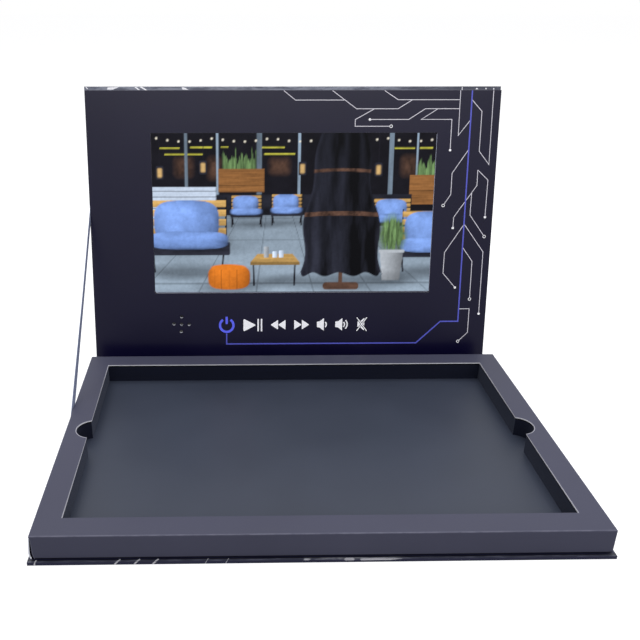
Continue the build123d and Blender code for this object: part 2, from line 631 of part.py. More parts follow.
def main_board_pieces():
    """The main board with what is soldered to it, and the charging socket in the right wall."""
    front_n = BOARD_REAR_N - BOARD_THICKNESS
    small_parts = [package(*POWER_COIL)]
    for across, up, width, length, height in CAPACITOR_ROWS:
        for index in range(CAPACITORS_IN_ROW):
            small_parts.append(package(across, up + index * CAPACITOR_PITCH, width, length, height))
    half_u = SENSOR_WIDTH / 2
    half_v = SENSOR_LENGTH / 2
    sensor_n = front_n - SENSOR_THICKNESS
    board = deep(MAIN_BOARD_U0, MAIN_BOARD_U1, MAIN_BOARD_V0, MAIN_BOARD_V1, front_n, BOARD_REAR_N)
    return {
        "main_board": board,
        "main_board_chips": Compound(children=[package(*row) for row in CHIPS]),
        "storage_chip": package(*STORAGE_CHIP),
        "power_coil_and_capacitors": Compound(children=small_parts),
        "cable_clamps": cable_clamp_pieces(),
        "charging_socket": charging_socket_piece(),
        "lid_sensor": deep(
            RIM_MIDDLE - half_u, RIM_MIDDLE + half_u, SENSOR_V - half_v, SENSOR_V + half_v, sensor_n, front_n
        ),
    }


def battery_pieces():
    """The flat cell on its pad at the left, its protection board, leads and plug."""
    cell_n1 = BATTERY_N + BATTERY_THICKNESS
    cell = deep(BATTERY_U0, BATTERY_U1, BATTERY_V0, BATTERY_V1, BATTERY_N, cell_n1)
    cell = fillet(cell.edges().filter_by(Axis.Y), BATTERY_EDGE)
    pad_inset = 2 * BATTERY_EDGE
    pad = deep(
        BATTERY_U0 + pad_inset, BATTERY_U1 - pad_inset, BATTERY_V0 + pad_inset, BATTERY_V1 - pad_inset,
        CARD, BATTERY_N
    )
    middle = (BATTERY_U0 + BATTERY_U1) / 2
    strip_half = STRIP_SHARE * (BATTERY_U1 - BATTERY_U0) / 2
    strip_v0 = BATTERY_V0 - STRIP_LENGTH
    strip_n0 = BATTERY_N + STRIP_FRONT_GAP
    strip_n1 = LEAD_N + LEAD_RADIUS
    strip = deep(middle - strip_half, middle + strip_half, strip_v0, BATTERY_V0, strip_n0, strip_n1)
    step = LEAD_PITCH
    plug_v = MAIN_BOARD_V0 + step
    plug = raised(PLUG_U0, PLUG_U0 + PLUG_LENGTH, plug_v - step, plug_v + step, PLUG_HEIGHT)
    leads = []
    for index in range(2):
        start_u = middle - index * step
        run_v = strip_v0 - LEAD_BEND - (1 + index) * step
        rise_u = PANEL_U1 - LEAD_RISE_INSET - (1 - index) * step
        end_v = plug_v + step / 2 - index * step
        leads.append(
            lead(
                [
                    (start_u, strip_v0, -LEAD_N),
                    (start_u, run_v, -LEAD_N),
                    (rise_u, run_v, -LEAD_N),
                    (rise_u, end_v, -LEAD_N),
                    (PLUG_U0, end_v, -LEAD_N),
                ],
                LEAD_RADIUS,
            )
        )
    return {
        "battery_cell": cell,
        "battery_pad": pad,
        "battery_protection_board": strip,
        "battery_plug": plug,
        "battery_leads": Compound(children=leads),
    }


def ribbon_line():
    """Start, direction and length of the ribbon's middle line, from the base board to the lid board."""
    start = Vector(0, RIBBON_BASE_Y, BOARD)
    end = FOOT + BACK * MODULE_THICKNESS + UP * RIBBON_LID_V
    return start, (end - start).normalized(), (end - start).length


def ribbon_cut_half():
    """Half of the ribbon's width where it meets the base board."""
    return RIBBON_WIDTH / 2 / ribbon_line()[1].Z


def ribbon_tab_half():
    """Half of the ribbon's width where it meets the lid board."""
    return RIBBON_WIDTH / 2 / ribbon_line()[1].dot(BACK)


def ribbon_pieces():
    """The taut stay ribbon outside the left walls, in two lengths that meet where it folds."""
    start, along, length = ribbon_line()
    side = Vector(0, -along.Z, along.Y) * (RIBBON_WIDTH / 2)
    fold = start + along * ((HINGE_A_Y + RIBBON_FOLD_HEIGHT - start.Y) / along.Y)
    end = start + along * length
    base_half = Vector(0, ribbon_cut_half(), 0)
    lid_half = UP * ribbon_tab_half()
    outside = -TRAY_WIDTH / 2 - RIBBON_SIDE_GAP - RIBBON_SHEET
    tab_x = -TRAY_WIDTH / 2 + RIBBON_TAB

    def strip(points):
        """A flat length of ribbon from its four corners."""
        outline = Polyline(*[(outside, point.Y, point.Z) for point in points], close=True)
        return extrude(make_face(outline), RIBBON_SHEET, dir=(1, 0, 0))

    lower = strip([start - base_half, start + base_half, fold - side, fold + side])
    lower += block(
        outside, tab_x, start.Y - base_half.Y, start.Y + base_half.Y, BOARD, BOARD + RIBBON_SHEET
    )
    upper = strip([fold + side, fold - side, end - lid_half, end + lid_half])
    tab_v0 = RIBBON_LID_V - ribbon_tab_half()
    tab_v1 = RIBBON_LID_V + ribbon_tab_half()
    tab_n0 = MODULE_THICKNESS - RIBBON_SHEET
    upper += LID_PLACE * deep(outside, tab_x, tab_v0, tab_v1, tab_n0, MODULE_THICKNESS)
    return {"stay_ribbon_lower": lower, "stay_ribbon_upper": upper}


def all_pieces():
    """Every node of the box in its place, by name."""
    pieces = {}
    pieces.update(case_pieces())
    pieces.update(tray_pieces())
    flat = {}
    flat.update(module_shell())
    flat.update(screen_pieces())
    flat.update(speaker_pieces())
    flat.update(key_pieces())
    flat.update(main_board_pieces())
    flat.update(battery_pieces())
    for name, shape in flat.items():
        pieces[name] = LID_PLACE * shape
    pieces.update(ribbon_pieces())
    return pieces


os.makedirs("parts", exist_ok=True)
for node, shape in all_pieces().items():
    export_step(shape, "parts/" + node + ".step")
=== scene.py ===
"""Looks of the open video gift box: finishes, prints, screen picture, ribbon, light and camera."""

import json
import logging
import math
from dataclasses import dataclass, field
from enum import Enum
from functools import cached_property
from typing import Sequence

import bpy
import numpy as np
from mathutils import Matrix, Vector


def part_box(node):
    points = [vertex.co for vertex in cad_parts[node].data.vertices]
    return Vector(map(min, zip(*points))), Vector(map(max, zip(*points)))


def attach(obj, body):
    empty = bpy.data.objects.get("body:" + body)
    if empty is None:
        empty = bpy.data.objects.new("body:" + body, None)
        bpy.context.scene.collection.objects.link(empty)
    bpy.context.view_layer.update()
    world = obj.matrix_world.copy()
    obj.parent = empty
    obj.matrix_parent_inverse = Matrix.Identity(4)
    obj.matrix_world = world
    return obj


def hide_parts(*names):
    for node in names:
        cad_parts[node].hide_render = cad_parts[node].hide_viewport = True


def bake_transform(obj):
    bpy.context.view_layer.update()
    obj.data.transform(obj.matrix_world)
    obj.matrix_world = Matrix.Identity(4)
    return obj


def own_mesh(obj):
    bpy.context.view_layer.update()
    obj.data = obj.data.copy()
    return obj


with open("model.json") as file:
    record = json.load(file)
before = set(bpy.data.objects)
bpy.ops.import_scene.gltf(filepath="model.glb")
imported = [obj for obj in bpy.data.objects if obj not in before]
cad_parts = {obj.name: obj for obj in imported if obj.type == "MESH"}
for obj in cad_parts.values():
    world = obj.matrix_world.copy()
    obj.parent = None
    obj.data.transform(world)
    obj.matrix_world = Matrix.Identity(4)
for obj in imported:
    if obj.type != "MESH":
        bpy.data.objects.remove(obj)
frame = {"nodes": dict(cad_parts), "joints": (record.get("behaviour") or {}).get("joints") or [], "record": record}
log = logging.getLogger("video_box")

MM = 0.001
Point = tuple[float, float]
Colour = tuple[float, float, float]
Piece = bpy.types.Object
Inputs = bpy.types.NodeInputs
Socket = bpy.types.NodeSocket


def frame_joint(name: str) -> dict:
    """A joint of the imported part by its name."""
    return next(joint for joint in frame["joints"] if joint["name"] == name)


def deselect_all() -> None:
    """Leaves object mode with nothing selected."""
    if bpy.context.object and bpy.context.object.mode != "OBJECT":
        bpy.ops.object.mode_set(mode="OBJECT")
    bpy.ops.object.select_all(action="DESELECT")


def make_active(piece: Piece) -> None:
    """Selects one piece alone and makes it active.

    Args:
        piece: The object to work on.
    """
    deselect_all()
    piece.select_set(True)
    bpy.context.view_layer.objects.active = piece


def apply_place(piece: Piece) -> None:
    """Puts a piece's place and turn into its mesh, so that its object sits at the origin.

    Args:
        piece: The finished object.
    """
    make_active(piece)
    bpy.ops.object.transform_apply(location=True, rotation=True, scale=True)


def apply_modifiers(piece: Piece) -> None:
    """Applies every modifier of a piece in order.

    Args:
        piece: The object whose modifiers are applied.
    """
    make_active(piece)
    for modifier in list(piece.modifiers):
        bpy.ops.object.modifier_apply(modifier=modifier.name)


def named(piece: Piece, name: str) -> Piece:
    """The same piece, once it and its mesh have a name."""
    piece.name = piece.data.name = name
    return piece


def join(name: str, parts: Sequence[Piece]) -> Piece:
    """Joins several meshes into one piece.

    Args:
        name: The new piece's name.
        parts: The meshes to join.

    Returns:
        The joined piece.
    """
    deselect_all()
    for part in parts:
        part.select_set(True)
    bpy.context.view_layer.objects.active = parts[0]
    if len(parts) > 1:
        bpy.ops.object.join()
    return named(bpy.context.view_layer.objects.active, name)


@dataclass(frozen=True)
class LidFrame:
    """The leaning lid's own axes: u across, v up its face, n back from it."""

    foot: Vector
    up: Vector
    back: Vector

    @classmethod
    def from_joints(cls) -> "LidFrame":
        """Works the lid's axes out from the key and lid joints and the thickness of the case board.

        Returns:
            The lid's frame, with its foot at the lower edge of the face.
        """
        low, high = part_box("base_wrap")
        case_board, module, clearance = high.z - low.z, 8.0 * MM, 0.2 * MM
        back = Vector(frame_joint("power_press")["axis"]).normalized()
        up = Vector((0.0, -back.z, back.y))
        hinge = Vector(frame_joint("lid_hinge")["pos_m"])
        foot = hinge - back * (case_board + module) + up * (case_board + clearance)
        return cls(foot=foot, up=up, back=back)

    def matrix(self) -> Matrix:
        """The place of the flat lid (u, v, -n) in the row frame."""
        turn = Matrix((Vector((1, 0, 0)), self.up, -self.back)).transposed()
        return Matrix.Translation(self.foot) @ turn.to_4x4()

    def place(self, piece: Piece) -> Piece:
        """Moves a piece that was laid out flat onto the lid.

        Args:
            piece: The flat piece.

        Returns:
            The same piece, in place.
        """
        piece.matrix_world = self.matrix()
        apply_place(piece)
        return piece

    def point(self, u: float, v: float, n: float) -> Vector:
        """A point of the lid in the row frame, from millimetres across, up and back."""
        return self.matrix() @ Vector((u * MM, v * MM, -n * MM))


LID = LidFrame.from_joints()


class NodeKit:
    """Short calls for the nodes of one material or group."""

    def __init__(self, tree: bpy.types.NodeTree) -> None:
        """Starts on a tree.

        Args:
            tree: The node tree to fill.
        """
        self.tree = tree

    def add(self, kind: str, **values: object) -> bpy.types.Node:
        """Adds a node.

        Args:
            kind: The node's type name.
            **values: Its properties by name.

        Returns:
            The new node.
        """
        node = self.tree.nodes.new(kind)
        for name, value in values.items():
            setattr(node, name, value)
        return node

    def use(self, group: bpy.types.NodeTree, **values: object) -> Sequence[Socket]:
        """Places a shared group.

        Args:
            group: The group.
            **values: Its inputs by name, with underscores for spaces.

        Returns:
            The outputs of the group's node.
        """
        node = self.add("ShaderNodeGroup", node_tree=group)
        self.fill(node.inputs, **values)
        return node.outputs

    def feed(self, socket: Socket, value: object) -> None:
        """Links an output or writes a plain value to an input.

        Args:
            socket: The input.
            value: An output socket, a number, or a tuple.
        """
        if isinstance(value, Socket):
            self.tree.links.new(value, socket)
        else:
            socket.default_value = value

    def fill(self, inputs: Inputs, **values: object) -> None:
        """Feeds inputs by name, with underscores for spaces."""
        for name, value in values.items():
            self.feed(inputs[name.replace("_", " ")], value)

    def math(self, operation: str, *values: object, clamp: bool = False) -> Socket:
        """A Math node.

        Args:
            operation: Its operation.
            *values: Its inputs, as numbers or sockets.
            clamp: Whether the result stays between 0 and 1.

        Returns:
            The result's socket.
        """
        node = self.add("ShaderNodeMath", operation=operation, use_clamp=clamp)
        for socket, value in zip(node.inputs, values):
            self.feed(socket, value)
        return node.outputs[0]

    def times(self, first: object, second: object) -> Socket:
        """The product of two values."""
        return self.math("MULTIPLY", first, second)

    def mix(self, amount: object, first: object, second: object) -> Socket:
        """The first colour, with the second laid over it by an amount.

        Args:
            amount: How much of the second, from 0 to 1.
            first: The colour below.
            second: The colour above.

        Returns:
            The mixed colour.
        """
        node = self.add("ShaderNodeMix", data_type="RGBA", clamp_factor=True)
        for index, value in ((0, amount), (6, first), (7, second)):
            self.feed(node.inputs[index], value)
        return node.outputs[2]

    def gain(self, colour: object, factor: object) -> Socket:
        """A colour made brighter or darker by a factor.

        Args:
            colour: The colour.
            factor: The factor.

        Returns:
            The changed colour.
        """
        node = self.add("ShaderNodeVectorMath", operation="SCALE")
        self.feed(node.inputs[0], colour)
        self.feed(node.inputs["Scale"], factor)
        return node.outputs[0]

    def smooth(self, value: object, low: object, high: object) -> Socket:
        """A smooth step from 0 at low to 1 at high.

        Args:
            value: The value to follow.
            low: Where the step starts.
            high: Where it ends, which may be below its start.

        Returns:
            The step's height.
        """
        node = self.add("ShaderNodeMapRange", interpolation_type="SMOOTHSTEP")
        self.fill(node.inputs, Value=value, From_Min=low, From_Max=high)
        return node.outputs["Result"]

    def noise(self, vector: object, scale: float, detail: float = 2.0, rough: float = 0.5) -> Socket:
        """A noise value between 0 and 1.

        Args:
            vector: The place.
            scale: How fine it is.
            detail: How many finer layers it has.
            rough: How strong they are.

        Returns:
            The value.
        """
        node = self.add("ShaderNodeTexNoise")
        self.fill(node.inputs, Vector=vector, Scale=scale, Detail=detail, Roughness=rough)
        return node.outputs["Fac"]

    def split(self, vector: object) -> Sequence[Socket]:
        """The three parts of a vector.

        Args:
            vector: The vector.

        Returns:
            Its x, y and z.
        """
        node = self.add("ShaderNodeSeparateXYZ")
        self.feed(node.inputs[0], vector)
        return node.outputs

    def scaled(self, vector: object, scale: Sequence[float]) -> Socket:
        """A vector stretched along its axes.

        Args:
            vector: The vector.
            scale: The factor along each axis.

        Returns:
            The stretched vector.
        """
        node = self.add("ShaderNodeMapping")
        self.fill(node.inputs, Vector=vector, Scale=scale)
        return node.outputs[0]

    def moved(self, vector: object, matrix: Matrix) -> Socket:
        """A point after a turn and a move.

        Args:
            vector: The point.
            matrix: The turn and the move.

        Returns:
            The moved point.
        """
        node = self.add("ShaderNodeMapping", vector_type="POINT")
        self.fill(node.inputs, Vector=vector, Location=matrix.translation, Rotation=matrix.to_euler())
        return node.outputs[0]


def rgb(red: float, green: float, blue: float) -> tuple[float, float, float, float]:
    """A colour with full alpha from three linear values."""
    return (red, green, blue, 1.0)


def shade(colour: Colour, share: float) -> tuple[float, float, float, float]:
    """A darker tone of a colour, with full alpha."""
    return rgb(*(share * part for part in colour))


def new_group(name: str, inputs: Sequence[str], outputs: Sequence[str]) -> tuple:
    """An empty shader group, whose sockets are plain values but for Vector and Colour.

    Args:
        name: The group's name.
        inputs: The names of its inputs.
        outputs: The names of its outputs.

    Returns:
        The group, a kit to fill it, what it is given and what it gives back.
    """
    tree = bpy.data.node_groups.new(name, "ShaderNodeTree")
    kinds = {"Vector": "NodeSocketVector", "Colour": "NodeSocketColor"}
    for side, labels in (("INPUT", inputs), ("OUTPUT", outputs)):
        for label in labels:
            kind = kinds.get(label, "NodeSocketFloat")
            tree.interface.new_socket(name=label, in_out=side, socket_type=kind)
    kit = NodeKit(tree)
    return tree, kit, kit.add("NodeGroupInput").outputs, kit.add("NodeGroupOutput").inputs


class SharedGroups:
    """The node groups that several finishes use, built once."""

    def __init__(self) -> None:
        """Builds each group."""
        self.fibre = self._fibre()
        self.pores = self._pores()
        self.band = self._band()
        self.core_edge = self._core_edge()

    def _fibre(self) -> bpy.types.NodeTree:
        """Laminated paper: faint cloudy tone and fine tooth.

        Returns:
            The group.
        """
        tree, kit, given, result = new_group(
            "laminated_paper", ("Vector", "Colour", "Cloud"), ("Colour", "Roughness Shift", "Height"))
        cloud = kit.noise(given["Vector"], 18.0, 3.0)
        tooth = kit.noise(given["Vector"], 900.0, 2.0, 0.6)
        swing = kit.math("SUBTRACT", cloud, 0.5)
        tone = kit.math("MULTIPLY_ADD", swing, given["Cloud"], 1.0)
        kit.fill(result, Colour=kit.gain(given["Colour"], tone), Roughness_Shift=kit.times(swing, 0.16),
                 Height=kit.math("ADD", tooth, kit.times(cloud, 2.0)))
        return tree

    def _pores(self) -> bpy.types.NodeTree:
        """Cut closed-cell foam: small pores and long faint cutting lines.

        Returns:
            The group.
        """
        tree, kit, given, result = new_group(
            "cut_foam", ("Vector", "Colour", "Pore Size"), ("Colour", "Height"))
        vector = given["Vector"]
        cells = kit.add("ShaderNodeTexVoronoi", feature="F1")
        kit.fill(cells.inputs, Vector=vector, Scale=kit.math("DIVIDE", 1.0, given["Pore Size"]))
        pore = cells.outputs["Distance"]
        lines = kit.noise(kit.scaled(vector, (30.0, 30.0, 900.0)), 1.0, 3.0, 0.6)
        speck = kit.noise(vector, 1600.0, 2.0, 0.7)
        tone = kit.math("ADD", kit.times(pore, 0.9), kit.times(lines, 0.9))
        tone = kit.math("ADD", tone, kit.times(speck, 0.5))
        kit.fill(result, Colour=kit.gain(given["Colour"], tone), Height=kit.math("ADD", pore, speck))
        return tree

    def _band(self) -> bpy.types.NodeTree:
        """A soft line where a value is near a place, patchy along its length: worn lines and painted highlights
        along folds and edges.

        Returns:
            The group.
        """
        tree, kit, given, result = new_group("highlight_and_rubbing_line", ("Value", "Place", "Width", "Vector"), ("Mask",))
        away = kit.math("ABSOLUTE", kit.math("SUBTRACT", given["Value"], given["Place"]))
        near = kit.smooth(away, given["Width"], 0.0)
        patch = kit.smooth(kit.noise(given["Vector"], 120.0, 3.0, 0.6), 0.3, 0.62)
        kit.feed(result["Mask"], kit.times(near, kit.math("MULTIPLY_ADD", patch, 0.6, 0.4)))
        return tree

    def _core_edge(self) -> bpy.types.NodeTree:
        """The bare pulp of a cut card edge, inside the outline of the folded card.

        Returns:
            The group.
        """
        tree, kit, given, result = new_group(
            "cut_card_edge", ("Across", "Half Across", "Along", "Low", "High", "Depth", "Card"), ("Mask",))
        ink_depth = 0.03 * MM
        mask = kit.math("LESS_THAN", kit.math("ABSOLUTE", given["Across"]), given["Half Across"])
        for test, value, limit in (
            ("GREATER_THAN", given["Along"], given["Low"]), ("LESS_THAN", given["Along"], given["High"]),
            ("GREATER_THAN", given["Depth"], ink_depth), ("LESS_THAN", given["Depth"], given["Card"]),
        ):
            mask = kit.times(mask, kit.math(test, value, limit))
        kit.feed(result["Mask"], mask)
        return tree


@dataclass(frozen=True)
class Finish:
    """One surface finish, made as a material the first time that it is used."""

    shared: SharedGroups
    name: str

    @cached_property
    def material(self) -> bpy.types.Material:
        """The material of this finish.

        Returns:
            The material, with its nodes filled.
        """
        made = bpy.data.materials.new(self.name)
        made.use_nodes = True
        self.paint(NodeKit(made.node_tree), made.node_tree.nodes["Principled BSDF"].inputs)
        return made

    def paint(self, kit: NodeKit, shader: Inputs) -> None:
        """Fills the material's nodes.

        Args:
            kit: The material's kit.
            shader: The inputs of its Principled BSDF.
        """
        raise NotImplementedError

    def coordinates(self, kit: NodeKit) -> Socket:
        """The piece's own coordinates in metres."""
        return kit.add("ShaderNodeTexCoord").outputs["Object"]

    def bump(self, kit: NodeKit, shader: Inputs, height: object, strength: float,
             distance: float) -> None:
        """Feeds a height to the shader's normal.

        Args:
            kit: The material's kit.
            shader: The inputs of its Principled BSDF.
            height: The height socket.
            strength: The bump's strength.
            distance: The bump's depth in metres.
        """
        node = kit.add("ShaderNodeBump")
        kit.fill(node.inputs, Strength=strength, Distance=distance, Height=height)
        kit.feed(shader["Normal"], node.outputs["Normal"])

    def dress(self, *pieces: Piece) -> None:
        """Gives this finish to pieces, in place of what they had.

        Args:
            *pieces: The pieces.
        """
        for piece in pieces:
            piece.data.materials.clear()
            piece.data.materials.append(self.material)


@dataclass(frozen=True)
class PlainPaper(Finish):
    """Laminated or bare paper in one colour with fibre, tone and rough variation.

    Attributes:
        colour: Its linear colour.
        rough: Its roughness.
        cloud: How much its tone varies.
        specular: Its specular level.
    """

    colour: Colour
    rough: float
    cloud: float = 0.25
    specular: float = 0.5

    def paint(self, kit: NodeKit, shader: Inputs) -> None:
        """Paper tone on the whole surface.

        Args:
            kit: The material's kit.
            shader: The inputs of its Principled BSDF.
        """
        vector = self.coordinates(kit)
        fibre = kit.use(self.shared.fibre, Vector=vector, Colour=rgb(*self.colour), Cloud=self.cloud)
        kit.fill(shader, Base_Color=self.overlay(kit, vector, fibre["Colour"]), Specular_IOR_Level=self.specular,
                 Roughness=kit.math("ADD", fibre["Roughness Shift"], self.rough, clamp=True))
        self.bump(kit, shader, fibre["Height"], 0.08, 0.02 * MM)

    def overlay(self, kit: NodeKit, vector: object, colour: object) -> object:
        """Colour added over the plain tone: none on plain paper."""
        return colour


class TrayCard(PlainPaper):
    """The tray's printed card: pale pulp on the cut edges, lighter lines along its folds and corners that are
    partly worn and partly painted highlight, and painted shade at the foot of its walls.
    """

    half_width = 160.0 * MM
    front = -107.0 * MM
    top = 18.1 * MM
    foot = 3.0 * MM
    card = 0.52 * MM
    inset = 2.0 * MM
    fold_width = 0.7 * MM
    side_width = 0.5 * MM

    def overlay(self, kit: NodeKit, vector: object, colour: object) -> object:
        """Adds the cut edge round the cavity, the lighter lines along the top folds and side corners, partly worn
        and partly painted highlight, and painted shade at the foot of the walls.

        Args:
            kit: The material's kit.
            vector: The place on the piece.
            colour: The colour so far.

        Returns:
            The colour with all three.
        """
        x, y, z = kit.split(vector)
        edge = kit.use(
            self.shared.core_edge, Across=x, Half_Across=self.half_width - self.inset, Along=y,
            Low=self.front + self.inset, High=-self.front - self.inset,
            Depth=kit.math("SUBTRACT", self.top, z), Card=self.card)
        band = self.shared.band
        # Lighter line along the top front fold: partly rubbing, partly a painted highlight of the rounded fold.
        fold_highlight_and_rubbing = kit.use(band, Value=y, Place=self.front + 0.3 * MM, Width=self.fold_width, Vector=vector)
        folded = kit.times(fold_highlight_and_rubbing["Mask"], kit.math("GREATER_THAN", z, self.top - 0.6 * MM))
        worn_and_painted_light = kit.mix(kit.times(folded, 0.55), colour, rgb(0.17, 0.17, 0.23))
        # Lighter line over the outer sides and corners of the side walls: partly worn, partly painted highlight.
        side = kit.use(band, Value=kit.math("ABSOLUTE", x), Place=self.half_width - 0.2 * MM,
                       Width=self.side_width, Vector=vector)
        worn_and_painted_light = kit.mix(kit.times(side["Mask"], 0.35), worn_and_painted_light, rgb(0.10, 0.10, 0.19))
        pulp = kit.mix(kit.noise(vector, 700.0, 3.0), rgb(0.60, 0.60, 0.64), rgb(0.85, 0.86, 0.90))
        # Painted shade: the lowest part of each wall goes near black, for the shadow in the gap under it.
        foot = kit.smooth(z, self.foot + 0.75 * MM, self.foot + 0.35 * MM)
        worn_and_painted_light = kit.mix(kit.times(foot, 0.97), worn_and_painted_light, rgb(0.001, 0.001, 0.003))
        return kit.mix(edge["Mask"], worn_and_painted_light, pulp)


class LidCard(PlainPaper):
    """The module's printed face card, with pale pulp at the window and the sound holes."""

    half_width = 160.0 * MM
    height = 214.0 * MM
    card = 0.52 * MM
    inset = 2.0 * MM

    def overlay(self, kit: NodeKit, vector: object, colour: object) -> object:
        """Adds the bare pulp of the cut edges.

        Args:
            kit: The material's kit.
            vector: The place on the piece.
            colour: The colour so far.

        Returns:
            The colour with the pulp.
        """
        u, v, lift = kit.split(kit.moved(vector, LID.matrix().inverted()))
        edge = kit.use(
            self.shared.core_edge, Across=u, Half_Across=self.half_width - self.inset, Along=v,
            Low=self.inset, High=self.height - self.inset, Depth=kit.times(lift, -1.0), Card=self.card)
        pulp = kit.mix(kit.noise(vector, 900.0, 3.0), rgb(0.20, 0.20, 0.22), rgb(0.50, 0.50, 0.52))
        return kit.mix(edge["Mask"], colour, pulp)


class CasePaper(PlainPaper):
    """The case's printed sheet: navy outside, creased where it turns over the edges, with painted highlights on
    the creases there and painted shadow under the tray.
    """

    front = -108.9 * MM
    module_top = 213.9 * MM
    lid_face = -8.3 * MM
    board_top = 1.93 * MM
    strip_depth = 2.1 * MM

    def overlay(self, kit: NodeKit, vector: object, colour: object) -> object:
        """Adds the turned-in strips that show past the tray and past the module, with their painted highlights and
        shade.

        Args:
            kit: The material's kit.
            vector: The place on the piece.
            colour: The colour so far.

        Returns:
            The colour with the strips.
        """
        turned = kit.mix(self.at_front(kit, vector), colour, self.base_strip(kit, vector))
        u, v, lift = kit.split(kit.moved(vector, LID.matrix().inverted()))
        # Lid strip past the module: grey with pale patches, a painted reflection and highlight on the creased
        # turn-in, darker towards the right.
        grey = kit.mix(kit.smooth(self.crease_and_glint_noise(kit, vector), 0.34, 0.62), rgb(0.11, 0.12, 0.17),
                       rgb(0.30, 0.32, 0.40))
        fade = kit.smooth(u, 40.0 * MM, 160.0 * MM)
        grey = kit.mix(kit.times(fade, 0.8), grey, rgb(0.040, 0.042, 0.068))
        at_top = kit.times(kit.math("GREATER_THAN", v, self.module_top),
                           kit.math("GREATER_THAN", lift, self.lid_face))
        return kit.mix(at_top, turned, grey)

    def crease_and_glint_noise(self, kit: NodeKit, vector: object) -> Socket:
        """Fine creases across the folded edges, whose pale patches are painted highlights."""
        return kit.noise(kit.scaled(vector, (90.0, 500.0, 500.0)), 1.0, 4.0, 0.65)

    def at_front(self, kit: NodeKit, vector: object) -> Socket:
        """The mask of the strip in front of the tray."""
        _, y, z = kit.split(vector)
        return kit.times(kit.math("LESS_THAN", y, self.front + self.strip_depth),
                         kit.math("GREATER_THAN", z, self.board_top))

    def base_strip(self, kit: NodeKit, vector: object) -> Socket:
        """The colour of that strip: lighter and creased, with painted highlights; a pale streak in one place,
        partly worn print and partly painted glint; painted shadow, black, under the tray.

        Args:
            kit: The material's kit.
            vector: The place on the piece.

        Returns:
            The strip's colour.
        """
        x, y, _ = kit.split(vector)
        # Painted highlight: the strip's top is lighter than the rest of the sheet, in creased patches.
        band = kit.mix(kit.smooth(self.crease_and_glint_noise(kit, vector), 0.42, 0.72), rgb(0.040, 0.042, 0.066),
                       rgb(0.105, 0.11, 0.155))
        # A pale streak in one place: partly worn print, partly painted glint on the laminate.
        worn_and_painted_light = kit.times(kit.smooth(x, -12.0 * MM, -9.0 * MM), kit.smooth(x, 50.0 * MM, 34.0 * MM))
        streak = kit.smooth(kit.noise(kit.scaled(vector, (130.0, 900.0, 900.0)), 1.0, 3.0, 0.6), 0.40, 0.62)
        band = kit.mix(kit.times(kit.times(worn_and_painted_light, streak), 0.35), band, rgb(0.55, 0.56, 0.60))
        shadow = kit.smooth(y, self.front + 1.25 * MM, self.front + 1.6 * MM)
        return kit.mix(kit.times(shadow, 0.95), band, rgb(0.001, 0.001, 0.003))


@dataclass(frozen=True)
class Foam(Finish):
    """Black closed-cell foam, cut.

    Attributes:
        colour: Its linear colour.
        pore: Its pore size in metres.
    """

    colour: Colour = (0.0018, 0.0030, 0.0108)
    pore: float = 0.5 * MM

    def paint(self, kit: NodeKit, shader: Inputs) -> None:
        """Pores and cutting lines on matte black.

        Args:
            kit: The material's kit.
            shader: The inputs of its Principled BSDF.
        """
        vector = self.coordinates(kit)
        foam = kit.use(self.shared.pores, Vector=vector, Colour=rgb(*self.colour), Pore_Size=self.pore)
        kit.fill(shader, Base_Color=self.joint_shade(kit, vector, foam["Colour"]), Roughness=0.92,
                 Specular_IOR_Level=0.2, Sheen_Weight=0.12, Sheen_Roughness=0.45,
                 Sheen_Tint=rgb(0.62, 0.70, 0.95))
        self.bump(kit, shader, foam["Height"], 0.6, 0.1 * MM)

    def joint_shade(self, kit: NodeKit, vector: object, colour: object) -> object:
        """Colour added over the plain foam: none here."""
        return colour


class TrayFoam(Foam):
    """The tray's foam wall, with painted shade along its top, where the card's edge overhangs it."""

    top = 17.6 * MM

    def joint_shade(self, kit: NodeKit, vector: object, colour: object) -> object:
        """Adds painted shade: a dark line along the top of the wall, under the card's edge."""
        line = kit.smooth(kit.split(vector)[2], self.top - 1.5 * MM, self.top - 0.7 * MM)
        return kit.mix(kit.times(line, 0.9), colour, rgb(0.0003, 0.0003, 0.0006))


@dataclass(frozen=True)
class Ink(Finish):
    """A printed colour, a little uneven like offset ink.

    Attributes:
        colour: Its linear colour.
        glow: Painted light: a little emission of its own, which makes the print read brighter.
    """

    colour: Colour
    glow: float = 0.0

    def paint(self, kit: NodeKit, shader: Inputs) -> None:
        """Ink tone with faint mottling, and a painted glow where the ink has one.

        Args:
            kit: The material's kit.
            shader: The inputs of its Principled BSDF.
        """
        mottle = kit.noise(self.coordinates(kit), 400.0, 3.0, 0.6)
        colour = kit.mix(mottle, shade(self.colour, 0.82), rgb(*self.colour))
        kit.fill(shader, Base_Color=colour, Roughness=kit.math("MULTIPLY_ADD", mottle, 0.12, 0.4))
        # Painted light: the ink glows, though it is no lamp.
        if self.glow > 0:
            kit.fill(shader, Emission_Color=colour, Emission_Strength=self.glow)


@dataclass(frozen=True)
class Hardware(Finish):
    """Metal, plastic or board of the parts inside, with grain and uneven roughness.

    Attributes:
        colour: Its linear colour.
        rough: Its roughness.
        metal: 1 for metal.
        grain: How fine its grain is along each axis.
    """

    colour: Colour
    rough: float
    metal: float = 0.0
    grain: Sequence[float] = (300.0, 300.0, 300.0)

    def paint(self, kit: NodeKit, shader: Inputs) -> None:
        """Grain that changes tone, roughness and height.

        Args:
            kit: The material's kit.
            shader: The inputs of its Principled BSDF.
        """
        grain = kit.noise(kit.scaled(self.coordinates(kit), self.grain), 1.0, 4.0, 0.6)
        rough = kit.math("MULTIPLY_ADD", grain, 0.2, self.rough - 0.1, clamp=True)
        kit.fill(shader, Base_Color=kit.mix(grain, shade(self.colour, 0.7), rgb(*self.colour)), Roughness=rough,
                 Metallic=self.metal)
        self.bump(kit, shader, grain, 0.15, 0.05 * MM)


